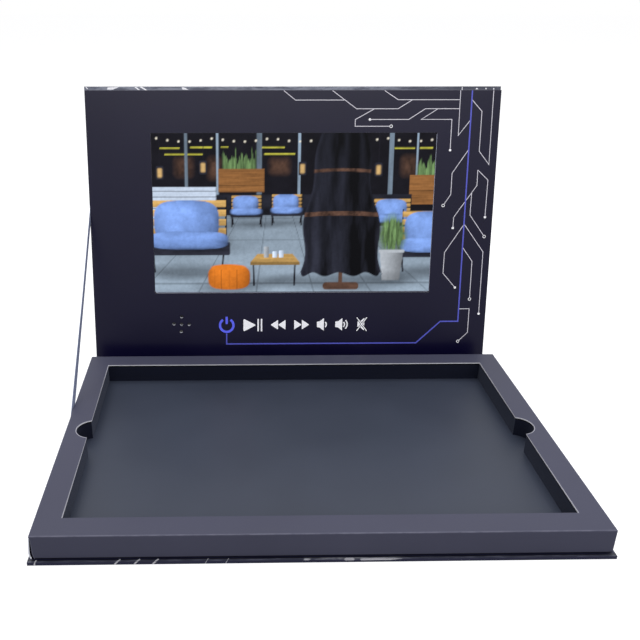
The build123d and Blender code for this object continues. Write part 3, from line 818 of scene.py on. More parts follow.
class SatinRibbon(Finish):
    """Woven satin ribbon: fine cross ribs and selvedges."""

    rib_pitch = 0.45 * MM
    warp_pitch = 0.35 * MM

    def paint(self, kit: NodeKit, shader: Inputs) -> None:
        """Weave along the ribbon's own UV map.

        Args:
            kit: The material's kit.
            shader: The inputs of its Principled BSDF.
        """
        across, along, _ = kit.split(kit.add("ShaderNodeUVMap", uv_map="ribbon").outputs[0])
        rib = kit.math("SINE", kit.times(along, 2 * math.pi / self.rib_pitch))
        warp = kit.math("SINE", kit.times(across, 2 * math.pi / self.warp_pitch))
        weave = kit.times(rib, warp)
        selvedge = kit.smooth(kit.math("ABSOLUTE", across), 2.4 * MM, 2.7 * MM)
        deep = rgb(0.15, 0.185, 0.31)
        tone = kit.mix(kit.math("MULTIPLY_ADD", weave, 0.25, 0.5), deep, rgb(0.25, 0.29, 0.46))
        kit.fill(shader, Base_Color=kit.mix(selvedge, tone, deep), Sheen_Weight=0.15,
                 Roughness=kit.math("MULTIPLY_ADD", weave, 0.06, 0.42))
        self.bump(kit, shader, weave, 0.4, 0.05 * MM)


class ScreenGlow(Finish):
    """The lit screen: a painted sheet with a little unevenness in its light."""

    def paint(self, kit: NodeKit, shader: Inputs) -> None:
        """Lets the painted points shine, with mottled light and shade on them.

        Args:
            kit: The material's kit.
            shader: The inputs of its Principled BSDF.
        """
        paint = kit.add("ShaderNodeVertexColor", layer_name="paint").outputs["Color"]
        vector = self.coordinates(kit)
        broad = kit.math("MULTIPLY_ADD", kit.noise(vector, 300.0, 4.0, 0.6), 0.24, 0.80)
        fine = kit.times(kit.noise(vector, 1300.0, 3.0, 0.7), 0.22)
        kit.fill(shader, Emission_Color=kit.gain(paint, kit.math("ADD", broad, fine)), Emission_Strength=1.0,
                 Base_Color=rgb(0.002, 0.002, 0.003), Roughness=0.3, Specular_IOR_Level=0.06)


def mitred(points: Sequence[Point], width: float) -> list[Point]:
    """The outline of a line of one width through points, mitred at its corners.

    Args:
        points: The line's points.
        width: Its width.

    Returns:
        The outline, once round.
    """
    line = [Vector(point) for point in points]
    left, right = [], []
    for index, point in enumerate(line):
        before = (point - line[index - 1]).normalized() if index > 0 else None
        after = (line[index + 1] - point).normalized() if index + 1 < len(line) else None
        first = before or after
        second = after or before
        middle = (first + second).normalized()
        reach = width / 2 / max(0.4, middle.dot(first))
        side = Vector((-middle.y, middle.x)) * reach
        left.append(tuple(point + side))
        right.append(tuple(point - side))
    return left + right[::-1]


def arc(centre: Point, radius: float, start: float, end: float, steps: int) -> list[Point]:
    """Points along an arc, with angles in degrees from +u."""
    angles = [math.radians(start + (end - start) * step / steps) for step in range(steps + 1)]
    return [(centre[0] + radius * math.cos(a), centre[1] + radius * math.sin(a)) for a in angles]


@dataclass
class Press:
    """The thin film of ink of one print, as closed plates laid flat in millimetres."""

    lift: float = 0.02
    film: float = 0.03
    plates: list[Piece] = field(default_factory=list)

    def layer(self, step: int) -> None:
        """Puts the next plates higher by a number of films."""
        self.lift += step * self.film

    def plate(self, outline: Sequence[Point]) -> Piece:
        """One plate from its outline.

        Args:
            outline: Its corners in order.

        Returns:
            The plate's object.
        """
        deselect_all()
        bpy.ops.mesh.primitive_circle_add(vertices=len(outline), radius=1.0, fill_type="NGON")
        piece = bpy.context.active_object
        for vertex, (u, v) in zip(piece.data.vertices, outline):
            vertex.co = (u * MM, v * MM, self.lift * MM)
        bpy.ops.object.mode_set(mode="EDIT")
        bpy.ops.mesh.select_all(action="SELECT")
        bpy.ops.mesh.extrude_region_move(TRANSFORM_OT_translate={"value": (0, 0, self.film * MM)})
        bpy.ops.mesh.select_all(action="SELECT")
        bpy.ops.mesh.normals_make_consistent(inside=False)
        bpy.ops.object.mode_set(mode="OBJECT")
        self.plates.append(piece)
        return piece

    def line(self, points: Sequence[Point], width: float) -> None:
        """A printed line of one width."""
        self.plate(mitred(points, width))

    def dot(self, centre: Point, radius: float) -> None:
        """A filled round pad."""
        self.plate(arc(centre, radius, 0.0, 345.0, 23))

    def ring(self, centre: Point, radius: float, width: float) -> None:
        """An open round pad, as two half rings."""
        self.line(arc(centre, radius - width / 2, 0.0, 180.0, 14), width)
        self.line(arc(centre, radius - width / 2, 180.0, 360.0, 14), width)

    def finish(self, name: str) -> Piece:
        """Joins the plates into one print.

        Args:
            name: The print's name.

        Returns:
            The print, still flat.
        """
        piece = join(name, self.plates)
        self.plates = []
        return piece

    def on_lid(self, name: str) -> Piece:
        """Joins the plates into one print and puts it on the lid."""
        return LID.place(self.finish(name))

    def stand(self, name: str, place: Sequence[float]) -> Piece:
        """Joins the plates into one print that stands upright at a place, seen from the front.

        Args:
            name: The print's name.
            place: Where its origin stands, in metres.

        Returns:
            The print, in place.
        """
        piece = self.finish(name)
        piece.matrix_world = Matrix.Translation(place) @ Matrix.Rotation(math.radians(90.0), 4, "X")
        apply_place(piece)
        return piece


class Pad(Enum):
    """How a trace ends."""

    NONE = 0
    DOT = 1
    RING = 2


@dataclass(frozen=True)
class Trace:
    """One printed line of the circuit pattern, in millimetres on the face."""

    points: Sequence[Point]
    end: Pad = Pad.NONE
    start: Pad = Pad.NONE


@dataclass
class CircuitPrint:
    """The circuit pattern on the lid's face."""

    line_width: float = 0.53
    main_width: float = 1.05
    dot_radius: float = 0.95
    ring_radius: float = 1.25
    top: float = 213.6
    main: Sequence[Point] = (
        (-53.0, 22.1), (-53.0, 13.1), (103.5, 13.1), (122.8, 31.2), (137.4, 31.2), (137.3, 213.6)
    )

    def traces(self) -> list[Trace]:
        """The fine traces, each with its pads."""
        top = self.top
        return [
            Trace([(-8.0, top), (1.0, 206.6), (38.5, 206.6)]),
            Trace([(29.4, top), (48.3, 200.1), (80.4, 200.1), (91.4, 206.8)]),
            Trace([(69.5, top), (80.3, 206.8), (128.2, 206.8)]),
            Trace([(62.3, 200.1), (47.6, 192.1), (47.6, 187.0), (75.6, 187.0)], Pad.RING),
            Trace([(58.9, 192.1), (89.1, 192.1), (101.7, 200.1), (128.2, 200.1)], start=Pad.DOT),
            Trace([(111.5, 200.1), (98.8, 192.1), (122.7, 192.1), (122.7, 168.8)], Pad.DOT),
            Trace([(128.2, top), (128.4, 180.0), (137.1, 191.4)]),
            Trace([(137.3, 207.0), (145.7, 198.1), (145.7, 167.9), (154.0, 157.7), (153.8, top)]),
            Trace([(137.0, 168.8), (125.3, 151.0), (125.3, 134.6), (119.7, 125.8)], Pad.RING),
            Trace([(145.5, 153.6), (154.1, 145.7), (153.8, 116.5)], Pad.DOT),
            Trace([(145.5, 153.6), (145.7, 141.5), (128.7, 116.5), (128.5, 108.0)], Pad.DOT),
            Trace([(141.9, 135.9), (141.7, 118.2), (154.3, 101.0)], Pad.RING),
            Trace([(137.5, 111.0), (123.0, 88.2), (122.8, 71.3), (133.2, 59.5)], Pad.DOT),
            Trace([(137.5, 111.0), (154.2, 88.7), (154.2, 37.5)], Pad.DOT),
            Trace([(137.5, 92.3), (145.8, 81.1), (145.8, 49.8)], Pad.RING),
            Trace([(137.6, 41.7), (146.1, 41.7), (146.0, 21.7), (138.4, 14.2)], Pad.RING),
        ]

    def pad(self, press: Press, pad: Pad, place: Point) -> None:
        """Prints the pad at a trace's end.

        Args:
            press: The press to print with.
            pad: The kind of pad.
            place: The trace's end.
        """
        if pad is Pad.DOT:
            press.dot(place, self.dot_radius)
        elif pad is Pad.RING:
            press.ring(place, self.ring_radius, 0.42)

    def shortened(self, trace: Trace) -> list[Point]:
        """The trace's points, stopping at the rim of a ring.

        Args:
            trace: The trace.

        Returns:
            Its points, the last one moved if it ends in a ring.
        """
        points = [Vector(point) for point in trace.points]
        if trace.end is Pad.RING:
            run = (points[-2] - points[-1]).normalized()
            points[-1] = points[-1] + run * (self.ring_radius - 0.2)
        return [tuple(point) for point in points]

    def build(self) -> list[Piece]:
        """Prints the pattern on the lid.

        Returns:
            The light lines, their pads and the blue line.
        """
        press = Press()
        for trace in self.traces():
            press.line(self.shortened(trace), self.line_width)
        lines = press.on_lid("print_circuit_lines")
        for trace in self.traces():
            self.pad(press, trace.end, trace.points[-1])
            self.pad(press, trace.start, trace.points[0])
        pads = press.on_lid("print_circuit_pads")
        press = Press(lift=0.05)
        press.line(self.main, self.main_width)
        return [lines, pads, press.on_lid("print_circuit_main")]


class KeySign(Enum):
    """The seven printed signs, by the key under each."""

    POWER = "power"
    PLAY = "play"
    REWIND = "rewind"
    FORWARD = "forward"
    VOLUME_DOWN = "volume_down"
    VOLUME_UP = "volume_up"
    MUTE = "mute"


@dataclass
class KeySigns:
    """The row of signs above the blue trace, each over its key."""

    foot: float = 25.0
    middle: float = 29.1
    top: float = 33.25
    ring_width: float = 1.9
    wave_width: float = 1.0
    cross_width: float = 0.75
    outline_width: float = 1.7

    def rounded(self, corners: Sequence[Point], radius: float) -> list[Point]:
        """A polygon with its corners rounded off.

        Args:
            corners: Its corners in order.
            radius: The length cut from each side of a corner.

        Returns:
            The rounded outline.
        """
        outline: list[Point] = []
        count = len(corners)
        for index, corner in enumerate(corners):
            here = Vector(corner)
            into = (Vector(corners[index - 1]) - here).normalized() * radius
            out = (Vector(corners[(index + 1) % count]) - here).normalized() * radius
            for step in range(5):
                share = step / 4
                first = here + into * (1 - share)
                second = here + out * share
                outline.append(tuple(first * (1 - share) + second * share))
        return outline

    def arrows(self, press: Press, places: Sequence[tuple[float, float]]) -> None:
        """A pair of pointed arrows, each from its base to its tip."""
        for base, tip in places:
            press.plate(self.rounded([(base, self.top), (base, self.foot), (tip, self.middle)], 0.7))

    def horn(self, press: Press, left: float, throat: float, mouth: float) -> None:
        """A loudspeaker sign: its body and its horn."""
        body = [(left, 31.5), (left, 26.9), (throat, 26.6), (mouth, 23.9), (mouth, 34.5), (throat, 31.8)]
        press.plate(self.rounded(body, 0.35))

    def crossed(self, press: Press, width: float) -> None:
        """The two strokes that cross out a loudspeaker."""
        press.line([(53.9, 34.9), (62.2, 23.6)], width)
        press.line([(62.2, 35.0), (54.0, 23.6)], width)

    def draw(self, press: Press, sign: KeySign) -> None:
        """Lays out one sign.

        Args:
            press: The press to print with.
            sign: The sign.
        """
        match sign:
            case KeySign.POWER:
                press.line(arc((-52.9, 28.9), 5.5, 124.0, 416.0, 40), self.ring_width)
                press.plate(self.rounded([(-53.85, 29.9), (-51.95, 29.9), (-51.95, 36.2), (-53.85, 36.2)], 0.8))
            case KeySign.PLAY:
                press.plate(self.rounded([(-39.2, 34.4), (-39.2, 23.5), (-28.7, 28.95)], 1.5))
                for left, right in ((-27.7, -26.55), (-24.95, -23.8)):
                    press.plate(self.rounded([(left, 23.7), (right, 23.7), (right, 34.2), (left, 34.2)], 0.4))
            case KeySign.REWIND:
                self.arrows(press, ((-10.8, -16.9), (-4.65, -10.75)))
            case KeySign.FORWARD:
                self.arrows(press, ((2.5, 8.55), (8.75, 14.8)))
            case KeySign.VOLUME_DOWN:
                self.horn(press, 21.2, 23.4, 26.9)
                press.line(arc((26.2, self.middle), 2.7, -50.0, 50.0, 10), self.wave_width + 0.05)
            case KeySign.VOLUME_UP:
                self.horn(press, 36.3, 38.6, 42.0)
                press.line(arc((41.2, self.middle), 2.7, -48.0, 48.0, 10), self.wave_width)
                press.line(arc((41.2, self.middle), 4.9, -46.0, 46.0, 12), self.wave_width)
            case KeySign.MUTE:
                self.horn(press, 54.6, 56.8, 60.2)
                press.layer(1)
                self.crossed(press, self.cross_width)

    def build(self) -> list[tuple[KeySign, Piece]]:
        """Prints each sign over its key, after the dark outline of the crossing strokes.

        Returns:
            Each print with the sign that it belongs to, the outline first.
        """
        outline = Press(lift=0.035)
        self.crossed(outline, self.outline_width)
        prints = [(KeySign.MUTE, outline.on_lid("sign_mute_outline"))]
        for sign in KeySign:
            press = Press()
            self.draw(press, sign)
            prints.append((sign, press.on_lid("sign_" + sign.value)))
        return prints


@dataclass
class StayRibbon:
    """The taut ribbon at the left side, in two lengths that meet at its fold."""

    width: float = 6.0 * MM
    thickness: float = 0.35 * MM
    steps: int = 48
    across_steps: int = 4
    side: float = -160.35 * MM
    base_place: float = 12.3 * MM
    lid_place: float = 128.0
    module: float = 8.0
    fold_reach: float = 20.8 * MM
    twist_reach: float = 110.0 * MM

    def strip(self, name: str, start: Vector, end: Vector, twist: float, low_cut: Vector, high_cut: Vector
              ) -> Piece:
        """One length of ribbon with its UV map.

        Args:
            name: The piece's name.
            start: The middle of its lower end.
            end: The middle of its upper end.
            twist: How far its lower end turns about its length, in degrees.
            low_cut: The direction of its lower cut edge.
            high_cut: The direction of its upper cut edge.

        Returns:
            The ribbon mesh.
        """
        deselect_all()
        bpy.ops.mesh.primitive_grid_add(x_subdivisions=self.across_steps, y_subdivisions=self.steps, size=1.0)
        piece = named(bpy.context.active_object, name)
        length = (end - start).length
        along = (end - start).normalized()
        square = Vector((0.0, -along.z, along.y))
        uv_layer = piece.data.uv_layers[0]
        uv_layer.name = "ribbon"
        flat = [(vertex.co.x, vertex.co.y + 0.5) for vertex in piece.data.vertices]
        for vertex, (across, share) in zip(piece.data.vertices, flat):
            slant = low_cut * (1 - share) + high_cut * share
            slant = slant * (self.width / slant.dot(square))
            middle = start + along * (length * share)
            near_foot = max(0.0, 1 - share * length / self.twist_reach)
            turn = math.radians(twist) * near_foot
            offset = slant * across
            outward = -abs(math.sin(turn)) * self.width * (0.5 + across)
            vertex.co = middle + offset * math.cos(turn * across) + Vector((outward, 0, 0))
        for loop in piece.data.loops:
            across, share = flat[loop.vertex_index]
            uv_layer.data[loop.index].uv = (across * self.width, share * length)
        solid = piece.modifiers.new("thickness", "SOLIDIFY")
        solid.thickness = self.thickness
        solid.offset = 0.0
        apply_modifiers(piece)
        return piece

    def build(self) -> list[Piece]:
        """Both lengths, along the line of the CAD ribbon.

        Returns:
            The lower and the upper length.
        """
        board_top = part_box("base_wrap")[1].z
        start = Vector((self.side, self.base_place, board_top + self.thickness))
        end = LID.point(0.0, self.lid_place, self.module)
        end.x = self.side
        along = (end - start).normalized()
        fold_y = frame_joint("spine_hinge")["pos_m"][1] + self.fold_reach
        fold = start + along * ((fold_y - start.y) / along.y)
        square = Vector((0.0, -along.z, along.y))
        flat_cut = Vector((0.0, -1.0, 0.0))
        lower = self.strip("stay_ribbon_lower_woven", start, fold, 9.0, flat_cut, square)
        upper = self.strip("stay_ribbon_upper_woven", fold, end, 0.0, square, LID.up)
        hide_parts("stay_ribbon_lower")
        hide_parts("stay_ribbon_upper")
        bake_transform(lower)
        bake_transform(upper)
        return [lower, upper]


@dataclass
class HingePapers:
    """The two grooves where the printed sheet folds."""

    steps: int = 12

    def strip(self, node: str, first: str, second: str) -> Piece:
        """A finely divided copy of one hinge paper, in place of its CAD node.

        Args:
            node: The CAD node that it replaces.
            first: Not used.
            second: Not used.

        Returns:
            The paper strip.
        """
        low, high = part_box(node)
        deselect_all()
        bpy.ops.mesh.primitive_cube_add(size=1.0, location=(low + high) / 2, scale=high - low)
        piece = named(bpy.context.active_object, node + "_folding")
        apply_place(piece)
        bpy.ops.object.mode_set(mode="EDIT")
        for step in range(1, self.steps):
            place = low.y + (high.y - low.y) * step / self.steps
            bpy.ops.mesh.select_all(action="SELECT")
            bpy.ops.mesh.bisect(plane_co=(0, place, 0), plane_no=(0, 1, 0))
        bpy.ops.object.mode_set(mode="OBJECT")
        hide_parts(node)
        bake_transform(piece)
        return piece

    def build(self) -> list[Piece]:
        """Both hinge papers."""
        return [
            self.strip("base_hinge_paper", "base", "spine"),
            self.strip("lid_hinge_paper", "spine", "lid"),
        ]


@dataclass
class CutEdges:
    """The thin light lines where printed card is cut: tray corner, window and sound holes."""

    tray_front: float = -107.0
    tray_top: float = 18.1
    cavity_half: Point = (144.5, 91.5)
    notch_radius: float = 10.5
    notch_inset: float = 2.0
    rim_width: float = 0.5
    window_left: float = -110.85
    window_right: float = 112.15
    window_foot: float = 55.7
    window_top: float = 182.15
    hole_middle: Point = (-89.9, 30.1)
    hole_pitch: float = 6.2
    hole_turn: float = -2.5
    hole_radius: float = 1.4

    def flap_lines(self) -> list[Piece]:
        """The tray's front left corner, where the left flap curls round.

        Returns:
            The flap's cut edge, a black plate of painted shade in the gap beside it and the front flap's lighter
            edge.
        """
        forms = (
            ("tray_corner_cut_edge", 0.10, [
                (-159.9, 17.4), (-160.25, 14.0), (-160.6, 10.5), (-160.85, 7.0), (-160.65, 4.6), (-159.9, 3.0),
                (-159.3, 3.5), (-159.95, 5.0), (-160.1, 7.2), (-159.95, 10.5), (-159.7, 14.0), (-159.5, 17.4)]),
            # A black plate of painted shade in the gap between the two flaps.
            ("tray_corner_seam", 0.05, [
                (-159.7, 17.3), (-160.0, 14.0), (-160.3, 10.5), (-160.4, 7.0), (-160.2, 4.8), (-159.5, 3.0),
                (-158.1, 3.0), (-158.65, 4.8), (-158.95, 7.0), (-159.0, 10.5), (-159.15, 14.0), (-159.4, 17.3)]),
            ("tray_front_flap_edge", 0.02, [
                (-159.4, 17.0), (-159.15, 14.0), (-159.0, 10.5), (-158.95, 7.0), (-158.65, 4.8), (-158.1, 3.2),
                (-157.6, 3.2), (-158.15, 4.8), (-158.5, 7.0), (-158.6, 10.5), (-158.75, 14.0), (-159.1, 17.0)]),
        )
        pieces = []
        for name, lift, outline in forms:
            press = Press(lift=lift, film=0.04)
            press.plate(outline)
            pieces.append(press.stand(name, (0, self.tray_front * MM, 0)))
        return pieces

    def rim_lines(self) -> Piece:
        """The light arris along the cut edges of the cavity and its notches, on the tray's top.

        Returns:
            The lines, in place.
        """
        press = Press(lift=self.tray_top + 0.01, film=0.03)
        half_x, half_y = self.cavity_half
        start = math.degrees(math.acos(self.notch_inset / self.notch_radius))
        width = self.rim_width
        for side in (-1, 1):
            middle = (side * (half_x - self.notch_inset), 0.0)
            first, last = (180.0 - start, 180.0 + start) if side < 0 else (start, -start)
            inner, outer = (
                [(side * (half_x + out), half_y + out)]
                + arc(middle, self.notch_radius + out, first, last, 24)
                + [(side * (half_x + out), -half_y - out)] for out in (0.0, width)
            )
            for index in range(len(inner) - 1):
                press.plate([inner[index], inner[index + 1], outer[index + 1], outer[index]])
        press.plate([(-half_x, half_y), (half_x, half_y), (half_x + width, half_y + width),
                     (-half_x - width, half_y + width)])
        piece = press.finish("tray_rim_arris")
        apply_place(piece)
        return piece

    def window_line(self) -> Piece:
        """The light line at the window's foot, its rounded left corner and its right side.

        Returns:
            The line, in place.
        """
        press = Press(lift=-0.45, film=0.2)
        left, right, foot = self.window_left, self.window_right, self.window_foot
        turn = arc((left + 2.2, foot + 2.2), 1.9, 180.0, 270.0, 8)
        inner = arc((left + 2.6, foot + 2.6), 1.9, 270.0, 180.0, 8)
        press.plate(turn + [(right - 1.0, foot + 0.3), (right - 1.0, foot + 0.5)] + inner)
        press.plate([(right - 0.45, foot + 1.0), (right - 0.12, foot + 1.0), (right - 0.12, self.window_top - 1.0),
                     (right - 0.45, self.window_top - 1.0)])
        return press.on_lid("window_cut_edge")

    def window_corner(self) -> Piece:
        """The small round of card left in the window's lower left corner.

        Returns:
            The round, in place.
        """
        press = Press(lift=-0.6, film=0.15)
        left, foot = self.window_left, self.window_foot
        press.plate([(left, foot)] + arc((left + 2.4, foot + 2.4), 2.1, 270.0, 180.0, 8))
        return press.on_lid("window_corner_round")

    def hole_rims(self) -> Piece:
        """A crescent of bare pulp at the foot of each sound hole.

        Returns:
            The crescents, in place.
        """
        press = Press(lift=-0.35, film=0.2)
        turn = math.radians(self.hole_turn)
        reach = Vector((math.cos(turn), math.sin(turn))) * self.hole_pitch
        rise = Vector((-reach.y, reach.x))
        middle = Vector(self.hole_middle)
        for place in (middle, middle + reach, middle - reach, middle + rise, middle - rise):
            low = arc((place.x, place.y + 0.10), self.hole_radius - 0.15, 205.0, 335.0, 14)
            high = arc((place.x, place.y + 0.52), self.hole_radius - 0.10, 330.0, 210.0, 14)
            press.plate(low + high)
        return press.on_lid("sound_hole_rims")


def ripple(values: np.ndarray) -> np.ndarray:
    """A wave that is 1 at whole numbers and 0 half way between."""
    return np.abs(np.mod(values, 1.0) - 0.5) * 2


@dataclass
class PaintSheet:
    """A sheet of fine points in millimetres, painted from back to front with soft-edged forms.

    Attributes:
        width: The sheet's width.
        height: Its height.
        columns: Points across.
        rows: Points up.
        soft: How wide the edge of a form fades.
    """

    width: float
    height: float
    columns: int
    rows: int
    soft: float = 0.5

    def __post_init__(self) -> None:
        """Lays the points out, all of them black."""
        across = np.linspace(0.0, self.width, self.columns)
        self.s, self.t = np.meshgrid(across, np.linspace(0.0, self.height, self.rows))
        self.colour = np.zeros((self.rows, self.columns, 3))

    def lattice(self, i: np.ndarray, j: np.ndarray, seed: float) -> np.ndarray:
        """A fixed value between 0 and 1 for each crossing of a lattice."""
        return np.mod(np.sin(i * 12.9898 + j * 78.233 + seed * 37.719) * 43758.5453, 1.0)

    def cloud(self, across: float, up: float, seed: float, octaves: int = 3) -> np.ndarray:
        """Smooth unevenness between 0 and 1, with patches of a given size in millimetres.

        Args:
            across: The width of a patch.
            up: Its height.
            seed: A number that picks the pattern.
            octaves: How many finer layers it has.

        Returns:
            The value at each point.
        """
        total = np.zeros_like(self.s)
        share = 0.0
        for octave in range(octaves):
            scale, weight = 2.0 ** octave, 0.55 ** octave
            a, b = self.s / across * scale, self.t / up * scale
            i, j = np.floor(a), np.floor(b)
            fa, fb = a - i, b - j
            fa, fb = fa * fa * (3 - 2 * fa), fb * fb * (3 - 2 * fb)
            low = self.lattice(i, j, seed) * (1 - fa) + self.lattice(i + 1, j, seed) * fa
            high = self.lattice(i, j + 1, seed) * (1 - fa) + self.lattice(i + 1, j + 1, seed) * fa
            total += weight * (low * (1 - fb) + high * fb)
            share += weight
        return total / share

    def lay(self, mask: np.ndarray, colour: Colour, gain: np.ndarray | float = 1.0) -> None:
        """Lays a colour over the sheet where a mask lets it.

        Args:
            mask: How much the colour covers at each point.
            colour: The colour.
            gain: A factor on the colour, one for all points or one for each.
        """
        cover = np.clip(mask, 0.0, 1.0)[..., None]
        tone = np.asarray(colour)[None, None, :] * (gain[..., None] if isinstance(gain, np.ndarray) else gain)
        self.colour = self.colour * (1 - cover) + tone * cover

    def shadow(self, mask: np.ndarray, depth: float) -> None:
        """Darkens the sheet where a mask lies."""
        self.colour *= (1 - depth * np.clip(mask, 0.0, 1.0))[..., None]

    def box(self, s0: float, t0: float, s1: float, t1: float, round_by: float = 0.0, soft: float = 0.0
            ) -> np.ndarray:
        """The mask of an upright box with rounded corners.

        Args:
            s0: Its left side.
            t0: Its foot.
            s1: Its right side.
            t1: Its top.
            round_by: The radius of its corners.
            soft: How wide its edge fades, or 0 for the sheet's own softness.

        Returns:
            The mask.
        """
        ds = np.abs(self.s - (s0 + s1) / 2) - (s1 - s0) / 2 + round_by
        dt = np.abs(self.t - (t0 + t1) / 2) - (t1 - t0) / 2 + round_by
        away = np.hypot(np.maximum(ds, 0), np.maximum(dt, 0)) + np.minimum(np.maximum(ds, dt), 0) - round_by
        return 0.5 - away / (soft or self.soft)

    def oval(self, s: float, t: float, half_s: float, half_t: float, power: float = 2.0, soft: float = 0.0
             ) -> np.ndarray:
        """The mask of an oval, squarer with a higher power."""
        reach = (np.abs((self.s - s) / half_s) ** power + np.abs((self.t - t) / half_t) ** power) ** (1 / power)
        return 0.5 - (reach - 1) * min(half_s, half_t) / (soft or self.soft)

    def form(self, corners: Sequence[Point], soft: float = 0.0) -> np.ndarray:
        """The mask of a convex form from its corners, taken clockwise or not.

        Args:
            corners: Its corners in order.
            soft: How wide its edge fades, or 0 for the sheet's own softness.

        Returns:
            The mask.
        """
        away = np.full_like(self.s, -1e9)
        middle = np.mean(corners, axis=0)
        for index, (s0, t0) in enumerate(corners):
            s1, t1 = corners[(index + 1) % len(corners)]
            normal = np.array((t1 - t0, s0 - s1)) / math.hypot(t1 - t0, s1 - s0)
            if normal.dot(middle - (s0, t0)) > 0:
                normal = -normal
            away = np.maximum(away, (self.s - s0) * normal[0] + (self.t - t0) * normal[1])
        return 0.5 - away / (soft or self.soft)


@dataclass
class TerracePicture(PaintSheet):
    """The screen's picture: an empty terrace with a closed parasol, sofas, planting and paving."""

    width: float = 222.7
    height: float = 125.3
    columns: int = 300
    rows: int = 170
    left: float = -110.7
    foot: float = 56.7
    depth: float = 0.72

    dark: Colour = (0.0045, 0.0042, 0.0070)
    post: Colour = (0.15, 0.20, 0.26)
    strip: Colour = (0.52, 0.50, 0.06)
    timber: Colour = (0.30, 0.13, 0.04)
    slat: Colour = (0.56, 0.34, 0.11)
    paving: Colour = (0.30, 0.38, 0.47)
    board: Colour = (0.60, 0.70, 0.86)
    cushion: Colour = (0.25, 0.42, 0.92)
    charcoal: Colour = (0.0125, 0.0135, 0.0215)
    brown: Colour = (0.070, 0.036, 0.024)
    orange: Colour = (0.66, 0.18, 0.016)
    leaf: Colour = (0.12, 0.21, 0.08)
    steel: Colour = (0.36, 0.39, 0.43)

    def wall(self) -> None:
        """A dark glazed front with posts, lamps and strips of light behind it."""
        self.lay(self.box(-9, -9, 240, 140), self.dark, 0.6 + 1.3 * self.cloud(14.0, 9.0, 1.0))
        for s, t, wide, high, seed in ((18, 92, 14, 15, 2.0), (44, 90, 10, 17, 3.0), (92, 94, 16, 12, 4.0),
                                       (196, 92, 12, 16, 5.0)):
            glow = self.box(s, t, s + wide, t + high, 3.0, 5.0)
            self.lay(glow * 0.8, self.brown, 0.3 + 1.5 * self.cloud(4.0, 5.0, seed))
        for s, end, t in ((6, 22, 113.5), (30, 47, 114.0), (54, 60, 114.3), (86, 104, 113.8), (10, 40, 108.6),
                          (88, 112, 108.9), (190, 206, 113.0), (210, 220, 113.3)):
            self.lay(self.box(s, t, end, t + 1.1), self.strip, 0.6 + 0.8 * self.cloud(5.0, 3.0, 6.0))
        for s, wide, gain in ((25.5, 2.6, 1.0), (50.5, 1.6, 2.1), (82.0, 4.2, 0.9), (114.5, 2.0, 1.9),
                              (186.0, 3.6, 1.2), (207.5, 1.4, 1.7)):
            self.lay(self.box(s, 70, s + wide, 140), self.post, gain * (0.6 + 0.6 * self.cloud(2.0, 30.0, 7.0)))

    def planting(self) -> None:
        """Grasses over timber planters, at the middle and at the right."""
        for s0, s1, foot, seed in ((56.0, 81.0, 97.0, 11.0), (209.0, 230.0, 92.0, 12.0)):
            blade = self.cloud(1.3, 16.0, seed, 3)
            tuft = self.box(s0, foot - 6, s1, foot + 17, 2.0, 3.0)
            tips = foot + 25 * self.cloud(1.6, 60.0, seed + 0.5)
            ragged = np.clip(tuft, 0, 1) * np.clip((tips - self.t) / 2, 0, 1)
            self.lay(ragged, self.leaf, 0.25 + 2.3 * blade ** 2)
        for s0, s1, t0, t1 in ((52.0, 88.0, 80.0, 98.0), (203.0, 230.0, 70.0, 93.0)):
            rows = ripple((self.t - t0) / 5.4)
            grain = 0.55 + 0.75 * self.cloud(16.0, 1.0, 13.0) - 0.5 * np.clip((rows - 0.86) * 7, 0, 1)
            self.lay(self.box(s0, t0, s1, t1), self.timber, grain)

    def paving_and_steps(self) -> None:
        """Pale paving with joints that run away from the eye, and pale boards at the left."""
        near = np.clip((64.0 - self.t) / 64.0, 0.0, 1.0)
        tone = (0.78 + 0.30 * near) * (0.82 + 0.32 * self.cloud(22.0, 6.0, 21.0, 4))
        eye_s, eye_t = 96.0, 112.0
        drop = np.maximum(eye_t - self.t, 1.0)
        across = ripple((self.s - eye_s) / drop * 2.4 + 0.3)
        along = ripple(210.0 / drop)
        joint = np.maximum(np.clip((across - 0.965) * 40, 0, 1), np.clip((along - 0.955) * 26, 0, 1))
        self.lay(0.5 - (self.t - 64.0) / 0.8, self.paving, tone * (1 - 0.42 * joint))
        rows = np.mod((self.t - 50.0) / 4.3, 1.0)
        edge = np.clip((0.24 - rows) * 12, 0, 1)
        tone = (0.80 + 0.25 * self.cloud(20.0, 1.2, 22.0)) * (1 - 0.62 * edge)
        self.lay(self.box(-9, 50, 50, 84), self.board, tone)
        self.lay(self.box(50, 62, 205, 78), self.charcoal, 0.5 + 1.4 * self.cloud(9.0, 5.0, 23.0))

    def slats(self, s0: float, t0: float, s1: float, rows: int, pitch: float) -> None:
        """A slatted back rest between two dark stiles.

        Args:
            s0: The left end of the slats.
            t0: The foot of the lowest slat.
            s1: Their right end.
            rows: How many there are.
            pitch: From one to the next.
        """
        for s in (s0 - 0.4, s1 - 0.6):
            self.lay(self.box(s, t0 - 14, s + 1.2, t0 + rows * pitch), self.dark, 1.2)
        for row in range(rows):
            low = t0 + row * pitch
            face = 0.62 + 0.5 * self.cloud(14.0, 1.0, 31.0 + row) + 0.10 * (self.t - low)
            self.lay(self.box(s0, low, s1, low + 0.72 * pitch, 0.5), self.slat, face)

